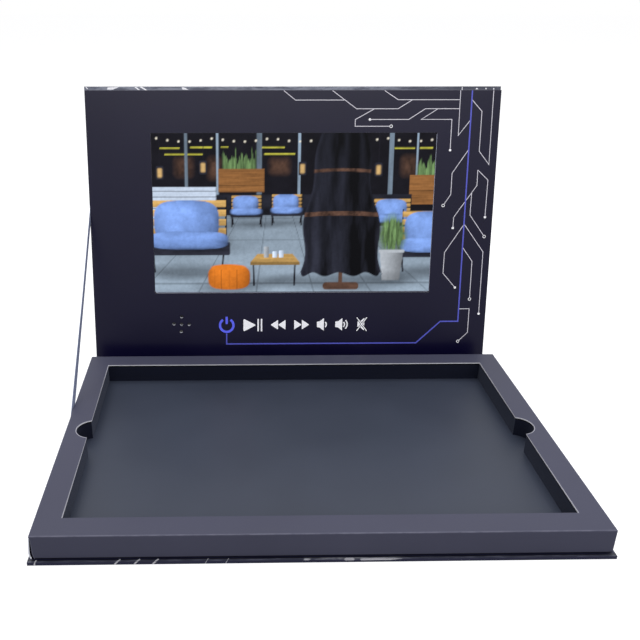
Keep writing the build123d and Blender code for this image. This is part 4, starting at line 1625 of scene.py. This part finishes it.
    def pillow(self, s: float, t: float, half_s: float, half_t: float, colour: Colour,
               seed: float) -> None:
        """A plump cushion with light from the upper left and soft creases.

        Args:
            s: Its middle, across.
            t: Its middle, up.
            half_s: Half its width.
            half_t: Half its height.
            colour: Its colour.
            seed: A number that picks its creases.
        """
        x, y = (self.s - s) / half_s, (self.t - t) / half_t
        swell = np.clip(1 - np.maximum(np.abs(x), np.abs(y)) ** 3, 0, 1)
        crease = self.cloud(half_s * 0.5, half_t * 0.8, seed, 4)
        gain = 0.42 + 0.42 * swell + 0.24 * (y * 0.8 - x * 0.6) + 0.55 * (crease - 0.45)
        self.shadow(self.oval(s + 1.5, t - half_t * 0.6, half_s * 1.15, half_t * 0.8, 2.5, 8.0), 0.45)
        self.lay(self.oval(s, t, half_s, half_t, 3.4), colour, np.clip(gain, 0.12, 1.5))

    def legs(self, places: Sequence[Point], foot: float, top: float, wide: float) -> None:
        """Dark legs that splay a little.

        Args:
            places: Each leg's left side at the floor and how far it leans.
            foot: The height of their feet.
            top: The height of their tops.
            wide: Their width.
        """
        for s, lean in places:
            leg = self.form([(s, foot), (s + wide, foot), (s + wide - lean, top), (s - lean, top)])
            self.lay(leg, self.dark, 1.8)

    def seat(self, s: float, t: float, size: float, seed: float) -> None:
        """A low chair with a slatted back, two blue cushions and a dark seat frame.

        Args:
            s: Its middle, across.
            t: The height of its seat.
            size: Half its width.
            seed: A number that picks the unevenness of its frame and the creases of its cushions.
        """
        self.shadow(self.oval(s, t - size * 0.72, size * 1.25, size * 0.16, 2.0, 6.0), 0.55)
        self.legs(((s - size * 0.86, 1.4), (s + size * 0.78, -1.4)), t - size * 0.72, t - size * 0.1, 1.4)
        self.slats(s - size * 0.9, t + size * 0.20, s + size * 0.9, 4, size * 0.22)
        frame_tone = 1.2 + 1.8 * self.cloud(9.0, 2.0, seed)
        self.lay(self.box(s - size, t - size * 0.30, s + size, t + size * 0.02, 1.5), self.charcoal, frame_tone)
        self.pillow(s - size * 0.05, t + size * 0.52, size * 0.78, size * 0.50, self.cushion, seed)
        self.pillow(s, t + size * 0.06, size * 0.95, size * 0.22, self.cushion, seed + 0.4)

    def parasol(self) -> None:
        """A closed parasol in charcoal canvas, close to the eye, in a brown stand."""
        share = np.clip((self.t - 12.0) / 150.0, 0.0, 1.0)
        middle = 150.0 + 0.5 * np.sin(self.t / 17.0)
        half = 33.0 * (1 - share) ** 0.55 * (0.92 + 0.08 * np.cos(self.t / 9.0)) + 3.5
        x = (self.s - middle) / half
        fold = np.cos(np.arcsin(np.clip(x, -1, 1)) * 9.0 + 0.8 * np.sin(self.t / 26.0))
        crease = self.cloud(5.0, 30.0, 41.0, 4)
        tone = 0.10 + 0.80 * (0.5 + 0.5 * fold) + 2.2 * (crease - 0.42) + 0.9 * np.clip(-x, -0.4, 1)
        tone = tone * (1.25 - 0.7 * share)
        mask = np.minimum(0.5 + (1 - np.abs(x)) * half / 0.8, 0.5 + (self.t - 14.0 - 1.6 * fold) / 0.8)
        self.shadow(self.oval(156.0, 8.0, 44.0, 7.0, 2.0, 8.0), 0.5)
        self.lay(self.box(148.4, 2, 151.8, 18), self.brown, 1.5)
        self.lay(self.box(136, 1.5, 165, 7.5, 2.5), self.brown, 0.7 + 1.6 * self.cloud(8.0, 1.6, 42.0))
        self.lay(mask, self.charcoal, np.clip(tone, 0.08, 3.6))
        for t, high in ((62.0, 3.4), (96.0, 2.4)):
            band = np.minimum(mask, 0.5 - (np.abs(self.t - t - 1.2 * (1 - x * x)) - high / 2) / 0.6)
            self.lay(band, self.brown, 0.5 + 1.6 * self.cloud(2.0, 2.0, 43.0) + 0.5 * fold)

    def lanterns(self) -> None:
        """Dark lanterns and a string of small lamps under the front of the wall."""
        for s, t in ((6.0, 95.0), (40.0, 99.0), (118.0, 98.0), (178.0, 97.0)):
            self.lay(self.box(s - 0.3, t + 5, s + 0.3, 140), self.dark, 2.0)
            self.lay(self.box(s - 3.0, t - 5.0, s + 3.0, t + 5.5, 1.2), self.charcoal, 1.6)
            self.lay(self.box(s - 1.7, t - 3.4, s + 1.7, t + 3.6, 1.0, 1.5), (0.85, 0.55, 0.22), 0.75)
        for lamp in range(26):
            s = 4.0 + 8.6 * lamp
            t = 121.5 - 2.6 * abs(math.sin(lamp * math.pi / 5.2))
            self.lay(self.oval(s, t, 0.75, 0.75, 2.0, 0.9), (1.0, 0.93, 0.78), 0.95)

    def small_things(self) -> None:
        """A low table with a jug and glasses, an orange pouf, a pot plant and a steel bucket."""
        self.shadow(self.oval(96.0, 9.0, 22.0, 4.0, 2.0, 6.0), 0.5)
        self.legs(((79.5, 0.6), (112.0, -0.6)), 5.0, 24.0, 1.3)
        grain = 0.62 + 0.55 * self.cloud(18.0, 0.9, 51.0)
        self.lay(self.form([(77, 24), (117, 24), (111, 31), (83, 31)]), self.slat, grain)
        self.lay(self.box(77, 21.8, 117, 24.4, 0.4), self.slat, 0.45 * grain)
        for s, high, colour in ((90.0, 9.0, self.steel), (97.0, 5.0, self.board), (102.0, 5.5, self.board)):
            side = 0.55 + 0.9 * np.clip(0.5 - (self.s - s) / 4.0, 0, 1)
            self.lay(self.box(s - 2.0, 28, s + 2.0, 28 + high, 0.8), colour, side)
        self.shadow(self.oval(62.0, 4.0, 22.0, 4.5, 2.0, 6.0), 0.55)
        x = (self.s - 60.0) / 17.0
        stitch = ripple(np.arcsin(np.clip(x, -1, 1)) * 2.6)
        round_tone = 0.40 + 0.62 * np.sqrt(np.clip(1 - x * x, 0, 1)) - 0.16 * x + 0.25 * self.cloud(5.0, 8.0, 52.0)
        round_tone *= 1 - 0.4 * np.clip((stitch - 0.86) * 8, 0, 1)
        self.lay(self.oval(60.0, 12.0, 17.0, 10.0, 3.2), self.orange, round_tone * (0.72 + 0.018 * self.t))
        self.lay(self.oval(59.5, 20.2, 13.5, 2.3, 2.2), self.orange, 1.15)
        self.shadow(self.oval(192.0, 10.0, 16.0, 4.0, 2.0, 5.0), 0.5)
        blade = self.cloud(1.2, 9.0, 53.0)
        crown = self.oval(191.0, 46.0, 10.5, 15.0, 2.0, 5.0) * np.clip(0.2 + 1.6 * blade, 0, 1)
        self.lay(crown, self.leaf, 0.3 + 2.1 * blade ** 2)
        pot = 0.5 + 0.7 * np.clip(0.6 - (self.s - 191.0) / 14.0, 0, 1.1)
        self.lay(self.form([(184, 9), (198, 9), (200.5, 33), (181.5, 33)]), self.steel, pot)
        self.lay(self.box(180.8, 31.4, 201.2, 34.0, 0.8), self.steel, 1.25)

    def paint(self) -> None:
        """Paints the picture from back to front."""
        self.wall()
        self.planting()
        self.paving_and_steps()
        for place in ((74.0, 64.0, 13.0, 61.0), (106.0, 65.0, 13.0, 62.0), (190.0, 58.0, 16.0, 63.0),
                      (28.0, 40.0, 33.0, 64.0), (224.0, 36.0, 28.0, 65.0)):
            self.seat(*place)
        self.lanterns()
        self.small_things()
        self.parasol()
        self.colour *= (0.90 + 0.20 * self.cloud(1.6, 1.6, 71.0, 2))[..., None]

    def build(self) -> Piece:
        """Puts the painted sheet in the window.

        Returns:
            The picture, in place.
        """
        self.paint()
        deselect_all()
        bpy.ops.mesh.primitive_grid_add(x_subdivisions=self.columns - 1, y_subdivisions=self.rows - 1, size=1.0)
        piece = named(bpy.context.active_object, "screen_picture")
        paint = piece.data.color_attributes.new("paint", "FLOAT_COLOR", "POINT")
        flat = np.ones((self.rows, self.columns, 4))
        flat[..., :3] = self.colour
        paint.data.foreach_set("color", flat.ravel())
        middle = ((self.left + self.width / 2) * MM, (self.foot + self.height / 2) * MM, -self.depth * MM)
        piece.matrix_world = LID.matrix() @ Matrix.Translation(middle) @ Matrix.Diagonal(
            (self.width * MM, self.height * MM, 1.0, 1.0))
        apply_place(piece)
        bpy.ops.object.mode_set(mode="EDIT")
        bpy.ops.mesh.select_all(action="DESELECT")
        bpy.ops.mesh.select_non_manifold()
        bpy.ops.mesh.extrude_region_move(TRANSFORM_OT_translate={"value": LID.back * 0.04 * MM})
        bpy.ops.mesh.edge_face_add()
        bpy.ops.object.mode_set(mode="OBJECT")
        return piece


@dataclass
class OuterPrint:
    """Traces on the outside of the case, some of which run over its edges, and painted glints on its turned-in
    edges.
    """

    width: float = 0.75

    def lid_back(self) -> Piece:
        """The pattern on the lid's outer side and over its top edge.

        Returns:
            The print.
        """
        press = Press()
        top = 216.9
        lines = [
            [(157.9, top), (157.9, 182.0), (146.0, 168.0), (146.0, 96.0)],
            [(142.0, top), (134.0, 206.0), (134.0, 150.0), (120.0, 134.0), (120.0, 88.0)],
            [(120.0, top), (112.0, 206.0), (84.0, 206.0), (72.0, 192.0), (72.0, 160.0)],
            [(82.0, top), (60.0, 196.0), (20.0, 196.0), (4.0, 180.0), (-52.0, 180.0)],
            [(-147.6, top), (-147.6, 120.0), (-132.0, 102.0), (-132.0, 40.0)],
            [(-154.5, top), (-154.5, 60.0), (-140.0, 44.0), (-140.0, 12.0)],
            [(120.0, 60.0), (98.0, 38.0), (-20.0, 38.0), (-44.0, 62.0), (-96.0, 62.0)],
        ]
        for line in lines:
            press.line(line, self.width)
            press.dot(line[-1], 1.2)
        piece = press.finish("print_lid_outside")
        turn = Matrix.Rotation(math.pi, 4, "Y")
        piece.matrix_world = LID.matrix() @ Matrix.Translation((0, 0, -10.0 * MM)) @ turn
        apply_place(piece)
        return piece

    def top_marks(self) -> Piece:
        """Painted glints: bright highlights on the turned-in strip of the lid past the module.

        Returns:
            The print.
        """
        press = Press(lift=-8.0)
        forms = (
            [(-160.8, 216.6), (-159.6, 215.4), (-159.0, 215.7), (-160.2, 216.9)],
            [(-144.2, 214.9), (-143.8, 216.5), (-134.6, 217.0), (-138.0, 215.7), (-139.6, 214.9)],
            [(-123.2, 216.6), (-120.4, 214.7), (-118.9, 214.7), (-121.8, 216.9)],
            [(-119.3, 216.9), (-115.0, 214.5), (-113.2, 214.5), (-117.2, 217.0)],
            [(-86.6, 216.8), (-86.0, 214.9), (-81.4, 214.7), (-83.8, 216.1)],
            [(131.3, 214.4), (131.9, 214.4), (131.9, 216.6), (131.3, 216.6)],
            [(142.3, 215.0), (144.2, 215.0), (143.6, 215.9), (142.5, 215.9)],
            [(149.9, 215.0), (150.8, 215.0), (150.6, 216.0), (149.8, 216.0)],
            [(156.0, 214.8), (156.8, 214.8), (156.7, 215.9), (156.0, 215.9)],
        )
        for form in forms:
            press.plate(form)
        return press.on_lid("painted_glints_lid_top_strip")

    def base_edges(self) -> list[Piece]:
        """Printed traces over the base board's front edge and the strip in front of the tray, with pale smears of
        painted glint.

        Returns:
            The marks on the strip and those on the edge.
        """
        front_y, top_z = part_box("base_wrap")[0].y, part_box("base_wrap")[1].z
        strokes = (
            (-157.9, 0.8, 0.75), (-114.4, 3.1, 0.9), (-103.7, 3.1, 0.9), (-93.6, 3.1, 0.95), (-65.0, 1.8, 0.3),
            (-53.8, 1.8, 0.3),
        )
        press = Press()
        for place, lean, width in strokes:
            press.line([(place + lean * 0.5, 0.1), (place + lean, 1.8)], width)
        # Pale smears: painted glints on the laminate of the strip.
        for form in (
            [(-11.2, 0.1), (-7.8, 0.1), (-7.2, 0.4), (-8.6, 0.8), (-10.4, 0.8)],
            [(10.9, 0.1), (16.9, 0.1), (16.2, 1.2), (12.2, 1.2)],
            [(19.6, 0.1), (43.5, 0.1), (38.0, 0.6), (29.0, 0.9), (20.6, 0.7)],
        ):
            press.plate(form)
        top = press.finish("print_and_glints_base_front_top")
        top.matrix_world = Matrix.Translation((0, front_y, top_z))
        apply_place(top)
        for place, lean, width in strokes:
            press.line([(place, 0.15), (place + lean * 0.5, 1.9)], width)
        # The same painted glints where they run down the front edge.
        for form in (
            [(-10.4, 1.65), (-8.4, 1.65), (-7.8, 1.95), (-11.2, 1.95)],
            [(11.8, 1.3), (16.2, 1.3), (16.9, 1.95), (10.9, 1.95)],
            [(20.4, 1.2), (36.0, 1.25), (43.0, 1.95), (19.6, 1.95)],
        ):
            press.plate(form)
        return [top, press.stand("print_and_glints_base_front_edge", (0, front_y, 0))]


@dataclass
class Studio:
    """White table, soft light and the camera of the photograph."""

    focal_px: float = 760.887
    image_px: float = 640.0
    principal_x: float = 241.396
    sensor_mm: float = 36.0
    place_mm: Sequence[float] = (-51.527, -434.253, 291.494)
    pitch: float = 24.121
    yaw: float = 1.073
    roll: float = 0.106
    table_size: float = 14.0
    table_drop: float = 0.2 * MM
    aim: Sequence[float] = (0.0, 0.0, 0.06)

    def camera(self) -> Piece:
        """Places the camera.

        Returns:
            The camera.
        """
        data = bpy.data.cameras.new("photo_camera")
        data.sensor_width = self.sensor_mm
        data.lens = self.focal_px / self.image_px * self.sensor_mm
        data.shift_x = (self.image_px / 2 - self.principal_x) / self.image_px
        data.clip_end = 50.0
        camera = bpy.data.objects.new("photo_camera", data)
        bpy.context.scene.collection.objects.link(camera)
        pitch, yaw, roll = (math.radians(angle) for angle in (self.pitch, self.yaw, self.roll))
        turn = (Matrix.Rotation(-yaw, 4, "Z") @ Matrix.Rotation(math.pi / 2 - pitch, 4, "X")
                @ Matrix.Rotation(roll, 4, "Z"))
        camera.matrix_world = Matrix.Translation(Vector(self.place_mm) * MM) @ turn
        bpy.context.scene.camera = camera
        return camera

    def floor(self) -> Piece:
        """A wide white table that keeps the box's shadow.

        Returns:
            The table.
        """
        deselect_all()
        bpy.ops.mesh.primitive_plane_add(size=self.table_size, location=(0.0, 0.0, -self.table_drop))
        floor = bpy.context.active_object
        floor.name = "table"
        material = bpy.data.materials.new("white_table")
        material.use_nodes = True
        kit = NodeKit(material.node_tree)
        path = kit.add("ShaderNodeLightPath").outputs
        seen = kit.math("MULTIPLY_ADD", path["Is Camera Ray"], 0.80, kit.times(path["Is Glossy Ray"], 0.04))
        seen = kit.math("MULTIPLY_ADD", path["Is Transmission Ray"], 0.50, seen)
        kit.fill(material.node_tree.nodes["Principled BSDF"].inputs, Base_Color=rgb(0.43, 0.43, 0.44),
                 Roughness=0.8, Specular_IOR_Level=0.0, Emission_Color=rgb(1.0, 1.0, 1.0),
                 Emission_Strength=seen)
        floor.data.materials.append(material)
        return floor

    def lamp(self, name: str, place: Sequence[float], size: Sequence[float], power: float) -> None:
        """A soft box that faces the middle of the object.

        Args:
            name: Its name.
            place: Where it hangs, in metres.
            size: Its width and height.
            power: Its watts.
        """
        data = bpy.data.lights.new(name, "AREA")
        data.shape = "RECTANGLE"
        data.size, data.size_y = size
        data.energy = power
        light = bpy.data.objects.new(name, data)
        bpy.context.scene.collection.objects.link(light)
        light.location = place
        aim = Vector(self.aim) - Vector(place)
        light.rotation_euler = aim.to_track_quat("-Z", "Y").to_euler()

    def world(self) -> None:
        """White surroundings, plain in strength for light and white to the camera."""
        world = bpy.data.worlds.new("white_studio")
        bpy.context.scene.world = world
        world.use_nodes = True
        kit = NodeKit(world.node_tree)
        path = kit.add("ShaderNodeLightPath").outputs
        seen = kit.math("MAXIMUM", path["Is Camera Ray"], path["Is Glossy Ray"])
        seen = kit.math("MAXIMUM", seen, path["Is Transmission Ray"])
        kit.fill(world.node_tree.nodes["Background"].inputs, Color=rgb(1.0, 1.0, 1.0),
                 Strength=kit.math("MULTIPLY_ADD", seen, 0.55, 0.45))

    def build(self) -> None:
        """Camera, table, lamps and world."""
        self.camera()
        self.floor()
        self.lamp("overhead", (-0.1, 0.55, 1.5), (1.8, 1.4), 21.5)
        self.lamp("front", (0.1, -1.5, 1.2), (1.4, 0.9), 13.0)
        self.lamp("right", (1.4, -0.5, 0.8), (0.9, 0.7), 4.0)
        self.world()
        bpy.context.scene.view_settings.view_transform = "Standard"


class VideoBox:
    """The whole box: finishes on its CAD nodes and the pieces made for its looks."""

    def __init__(self) -> None:
        """Makes the finishes."""
        shared = SharedGroups()
        self.tray_card = TrayCard(shared, "tray_card", (0.0575, 0.0592, 0.0930), 0.38, cloud=0.2, specular=0.12)
        self.lid_card = LidCard(shared, "lid_card", (0.0018, 0.0010, 0.0190), 0.30, specular=0.275)
        self.case_paper = CasePaper(
            shared, "case_paper", (0.016, 0.017, 0.046), 0.42, cloud=0.5, specular=0.3)
        self.lining = PlainPaper(shared, "lining_paper", (0.010, 0.010, 0.020), 0.6, specular=0.2)
        self.greyboard = PlainPaper(shared, "greyboard", (0.40, 0.38, 0.35), 0.9, cloud=0.3)
        self.floor_card = PlainPaper(shared, "floor_card", (0.034, 0.041, 0.063), 0.42, cloud=0.3, specular=0.22)
        self.foam = Foam(shared, "black_foam")
        self.tray_foam = TrayFoam(shared, "tray_foam")
        # The inks' glow is painted light: they shine a little, though no ink is a lamp. The white one also prints
        # the painted glints on the lid's top strip.
        self.white_print_and_glints = Ink(shared, "white_print_and_glints", (0.92, 0.92, 0.98), glow=0.25)
        self.light_ink = Ink(shared, "light_ink", (0.70, 0.68, 0.76), glow=0.12)
        self.pad_ink = Ink(shared, "pad_ink", (0.95, 0.95, 0.98), glow=0.25)
        self.blue_ink = Ink(shared, "blue_ink", (0.085, 0.098, 0.58), glow=0.12)
        self.power_ink = Ink(shared, "power_ink", (0.09, 0.11, 0.80), glow=0.35)
        self.pulp = PlainPaper(shared, "bare_pulp", (0.34, 0.36, 0.48), 0.8, cloud=0.6)
        self.rim_line = PlainPaper(shared, "rim_line", (0.30, 0.30, 0.35), 0.7, cloud=0.8)
        self.flap_edge = PlainPaper(shared, "flap_edge", (0.085, 0.088, 0.13), 0.6)
        self.bright_pulp = PlainPaper(shared, "bright_pulp", (0.72, 0.74, 0.82), 0.7, cloud=0.3)
        # Near black: black print, the dark board under the tray and plates of painted shade in gaps.
        self.black_and_painted_shade = PlainPaper(shared, "black_and_painted_shade", (0.002, 0.002, 0.005), 0.9, specular=0.05)
        self.pale_print_and_glints = Ink(shared, "pale_print_and_glints", (0.55, 0.55, 0.60))
        self.screen = ScreenGlow(shared, "screen_picture")
        self.ribbon = SatinRibbon(shared, "satin_ribbon")
        self.hardware = {
            slot: Hardware(shared, name, *look) for slot, name, *look in (
                ("magnet", "plated_magnet", (0.55, 0.56, 0.58), 0.3, 1.0),
                ("bezel_steel", "thin_steel", (0.52, 0.53, 0.55), 0.35, 1.0, (900.0, 60.0, 60.0)),
                ("screen_glass", "dark_glass", (0.006, 0.006, 0.009), 0.18),
                ("light_guide", "light_guide", (0.75, 0.77, 0.8), 0.2),
                ("circuit_board", "circuit_board", (0.015, 0.10, 0.05), 0.45),
                ("chip_plastic", "chip_plastic", (0.02, 0.02, 0.022), 0.6),
                ("connector_plastic", "connector_plastic", (0.72, 0.70, 0.64), 0.45),
                ("flat_cable", "flat_cable", (0.42, 0.22, 0.06), 0.4, 0.0, (900.0, 900.0, 900.0)),
                ("wire", "wire_sleeve", (0.45, 0.02, 0.02), 0.4),
                ("battery_foil", "battery_foil", (0.48, 0.49, 0.52), 0.38, 0.8),
                ("speaker_plastic", "speaker_plastic", (0.03, 0.03, 0.033), 0.5),
                ("key_plastic", "key_plastic", (0.03, 0.03, 0.034), 0.55),
            )
        }

    def dress_nodes(self) -> None:
        """Gives every CAD node its finish, by its material slot."""
        by_slot = {
            "printed_paper": self.case_paper,
            "lining_paper": self.lining,
            "greyboard": self.greyboard,
            "printed_card": self.tray_card,
            "foam": self.foam,
            "floor_card": self.floor_card,
            "ribbon": self.ribbon,
            **self.hardware,
        }
        by_node = {
            "module_face_card": self.lid_card,
            # Painted shade: the tray's bottom board is dressed near black, so the gap under the walls reads as
            # shadow; it stands for a black-wrapped board as well.
            "tray_bottom_board": self.black_and_painted_shade,
            "tray_foam_frame": self.tray_foam,
        }
        for row in frame["record"]["subparts"]:
            finish = by_node.get(row["node"], by_slot[row["material_slot"]])
            finish.dress(frame["nodes"][row["node"]])
            log.info("dressed %s with %s", row["node"], finish.name)

    def settle(self, body: str, slot: str, *dressed: tuple[Piece, Finish]) -> None:
        """Gives pieces their finish and the body that they ride on.

        Args:
            body: The body.
            slot: Not used.
            *dressed: Each piece with its finish.
        """
        for piece, finish in dressed:
            finish.dress(piece)
            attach(piece, body)
            log.info("added %s to %s", piece.name, body)

    def print_signs(self) -> None:
        """Prints the key signs on the lid, each over its key, and gives each print a mesh of its own."""
        (_, outline), *signs = prints = KeySigns().build()
        self.settle("lid", "printed_card", (outline, self.black_and_painted_shade))
        for sign, piece in signs:
            ink = self.power_ink if sign is KeySign.POWER else self.white_print_and_glints
            self.settle("lid", "printed_card", (piece, ink))
        for sign, piece in prints:
            joint = frame_joint(sign.value + "_press")
            anchor = Vector(joint["pos_m"])
            anchor -= LID.back * ((anchor - LID.foot).dot(LID.back))
            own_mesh(piece)

    def finish_edges(self) -> None:
        """Adds the light cut edges of card at the tray's corner, the window and the sound holes."""
        edges = CutEdges()
        finishes = (self.bright_pulp, self.black_and_painted_shade, self.flap_edge)
        self.settle("base", "printed_card", *zip(edges.flap_lines(), finishes))
        self.settle("base", "printed_card", (edges.rim_lines(), self.rim_line))
        self.settle(
            "lid", "printed_card", (edges.window_line(), self.pulp),
            (edges.window_corner(), self.lining), (edges.hole_rims(), self.bright_pulp))

    def build(self) -> None:
        """Makes every piece, and lets the prints, signs, picture and cut edges ride on their bodies."""
        self.dress_nodes()
        inks = (self.light_ink, self.pad_ink, self.blue_ink)
        self.settle("lid", "printed_card", *zip(CircuitPrint().build(), inks))
        self.print_signs()
        self.settle("lid", "screen_glass", (TerracePicture().build(), self.screen))
        self.finish_edges()
        outer = OuterPrint()
        self.settle("lid", "printed_paper", (outer.lid_back(), self.pale_print_and_glints),
                    (outer.top_marks(), self.white_print_and_glints))
        self.settle("base", "printed_paper", *((piece, self.pale_print_and_glints) for piece in outer.base_edges()))
        self.case_paper.dress(*HingePapers().build())
        self.ribbon.dress(*StayRibbon().build())
        log.info("folded the hinge papers and hung the ribbon")


def main() -> None:
    """Builds the box and its studio."""
    logging.basicConfig(level=logging.INFO, format="%(name)s: %(message)s")
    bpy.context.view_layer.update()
    Studio().build()
    VideoBox().build()
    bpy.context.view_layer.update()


if __name__ == "__main__":
    main()
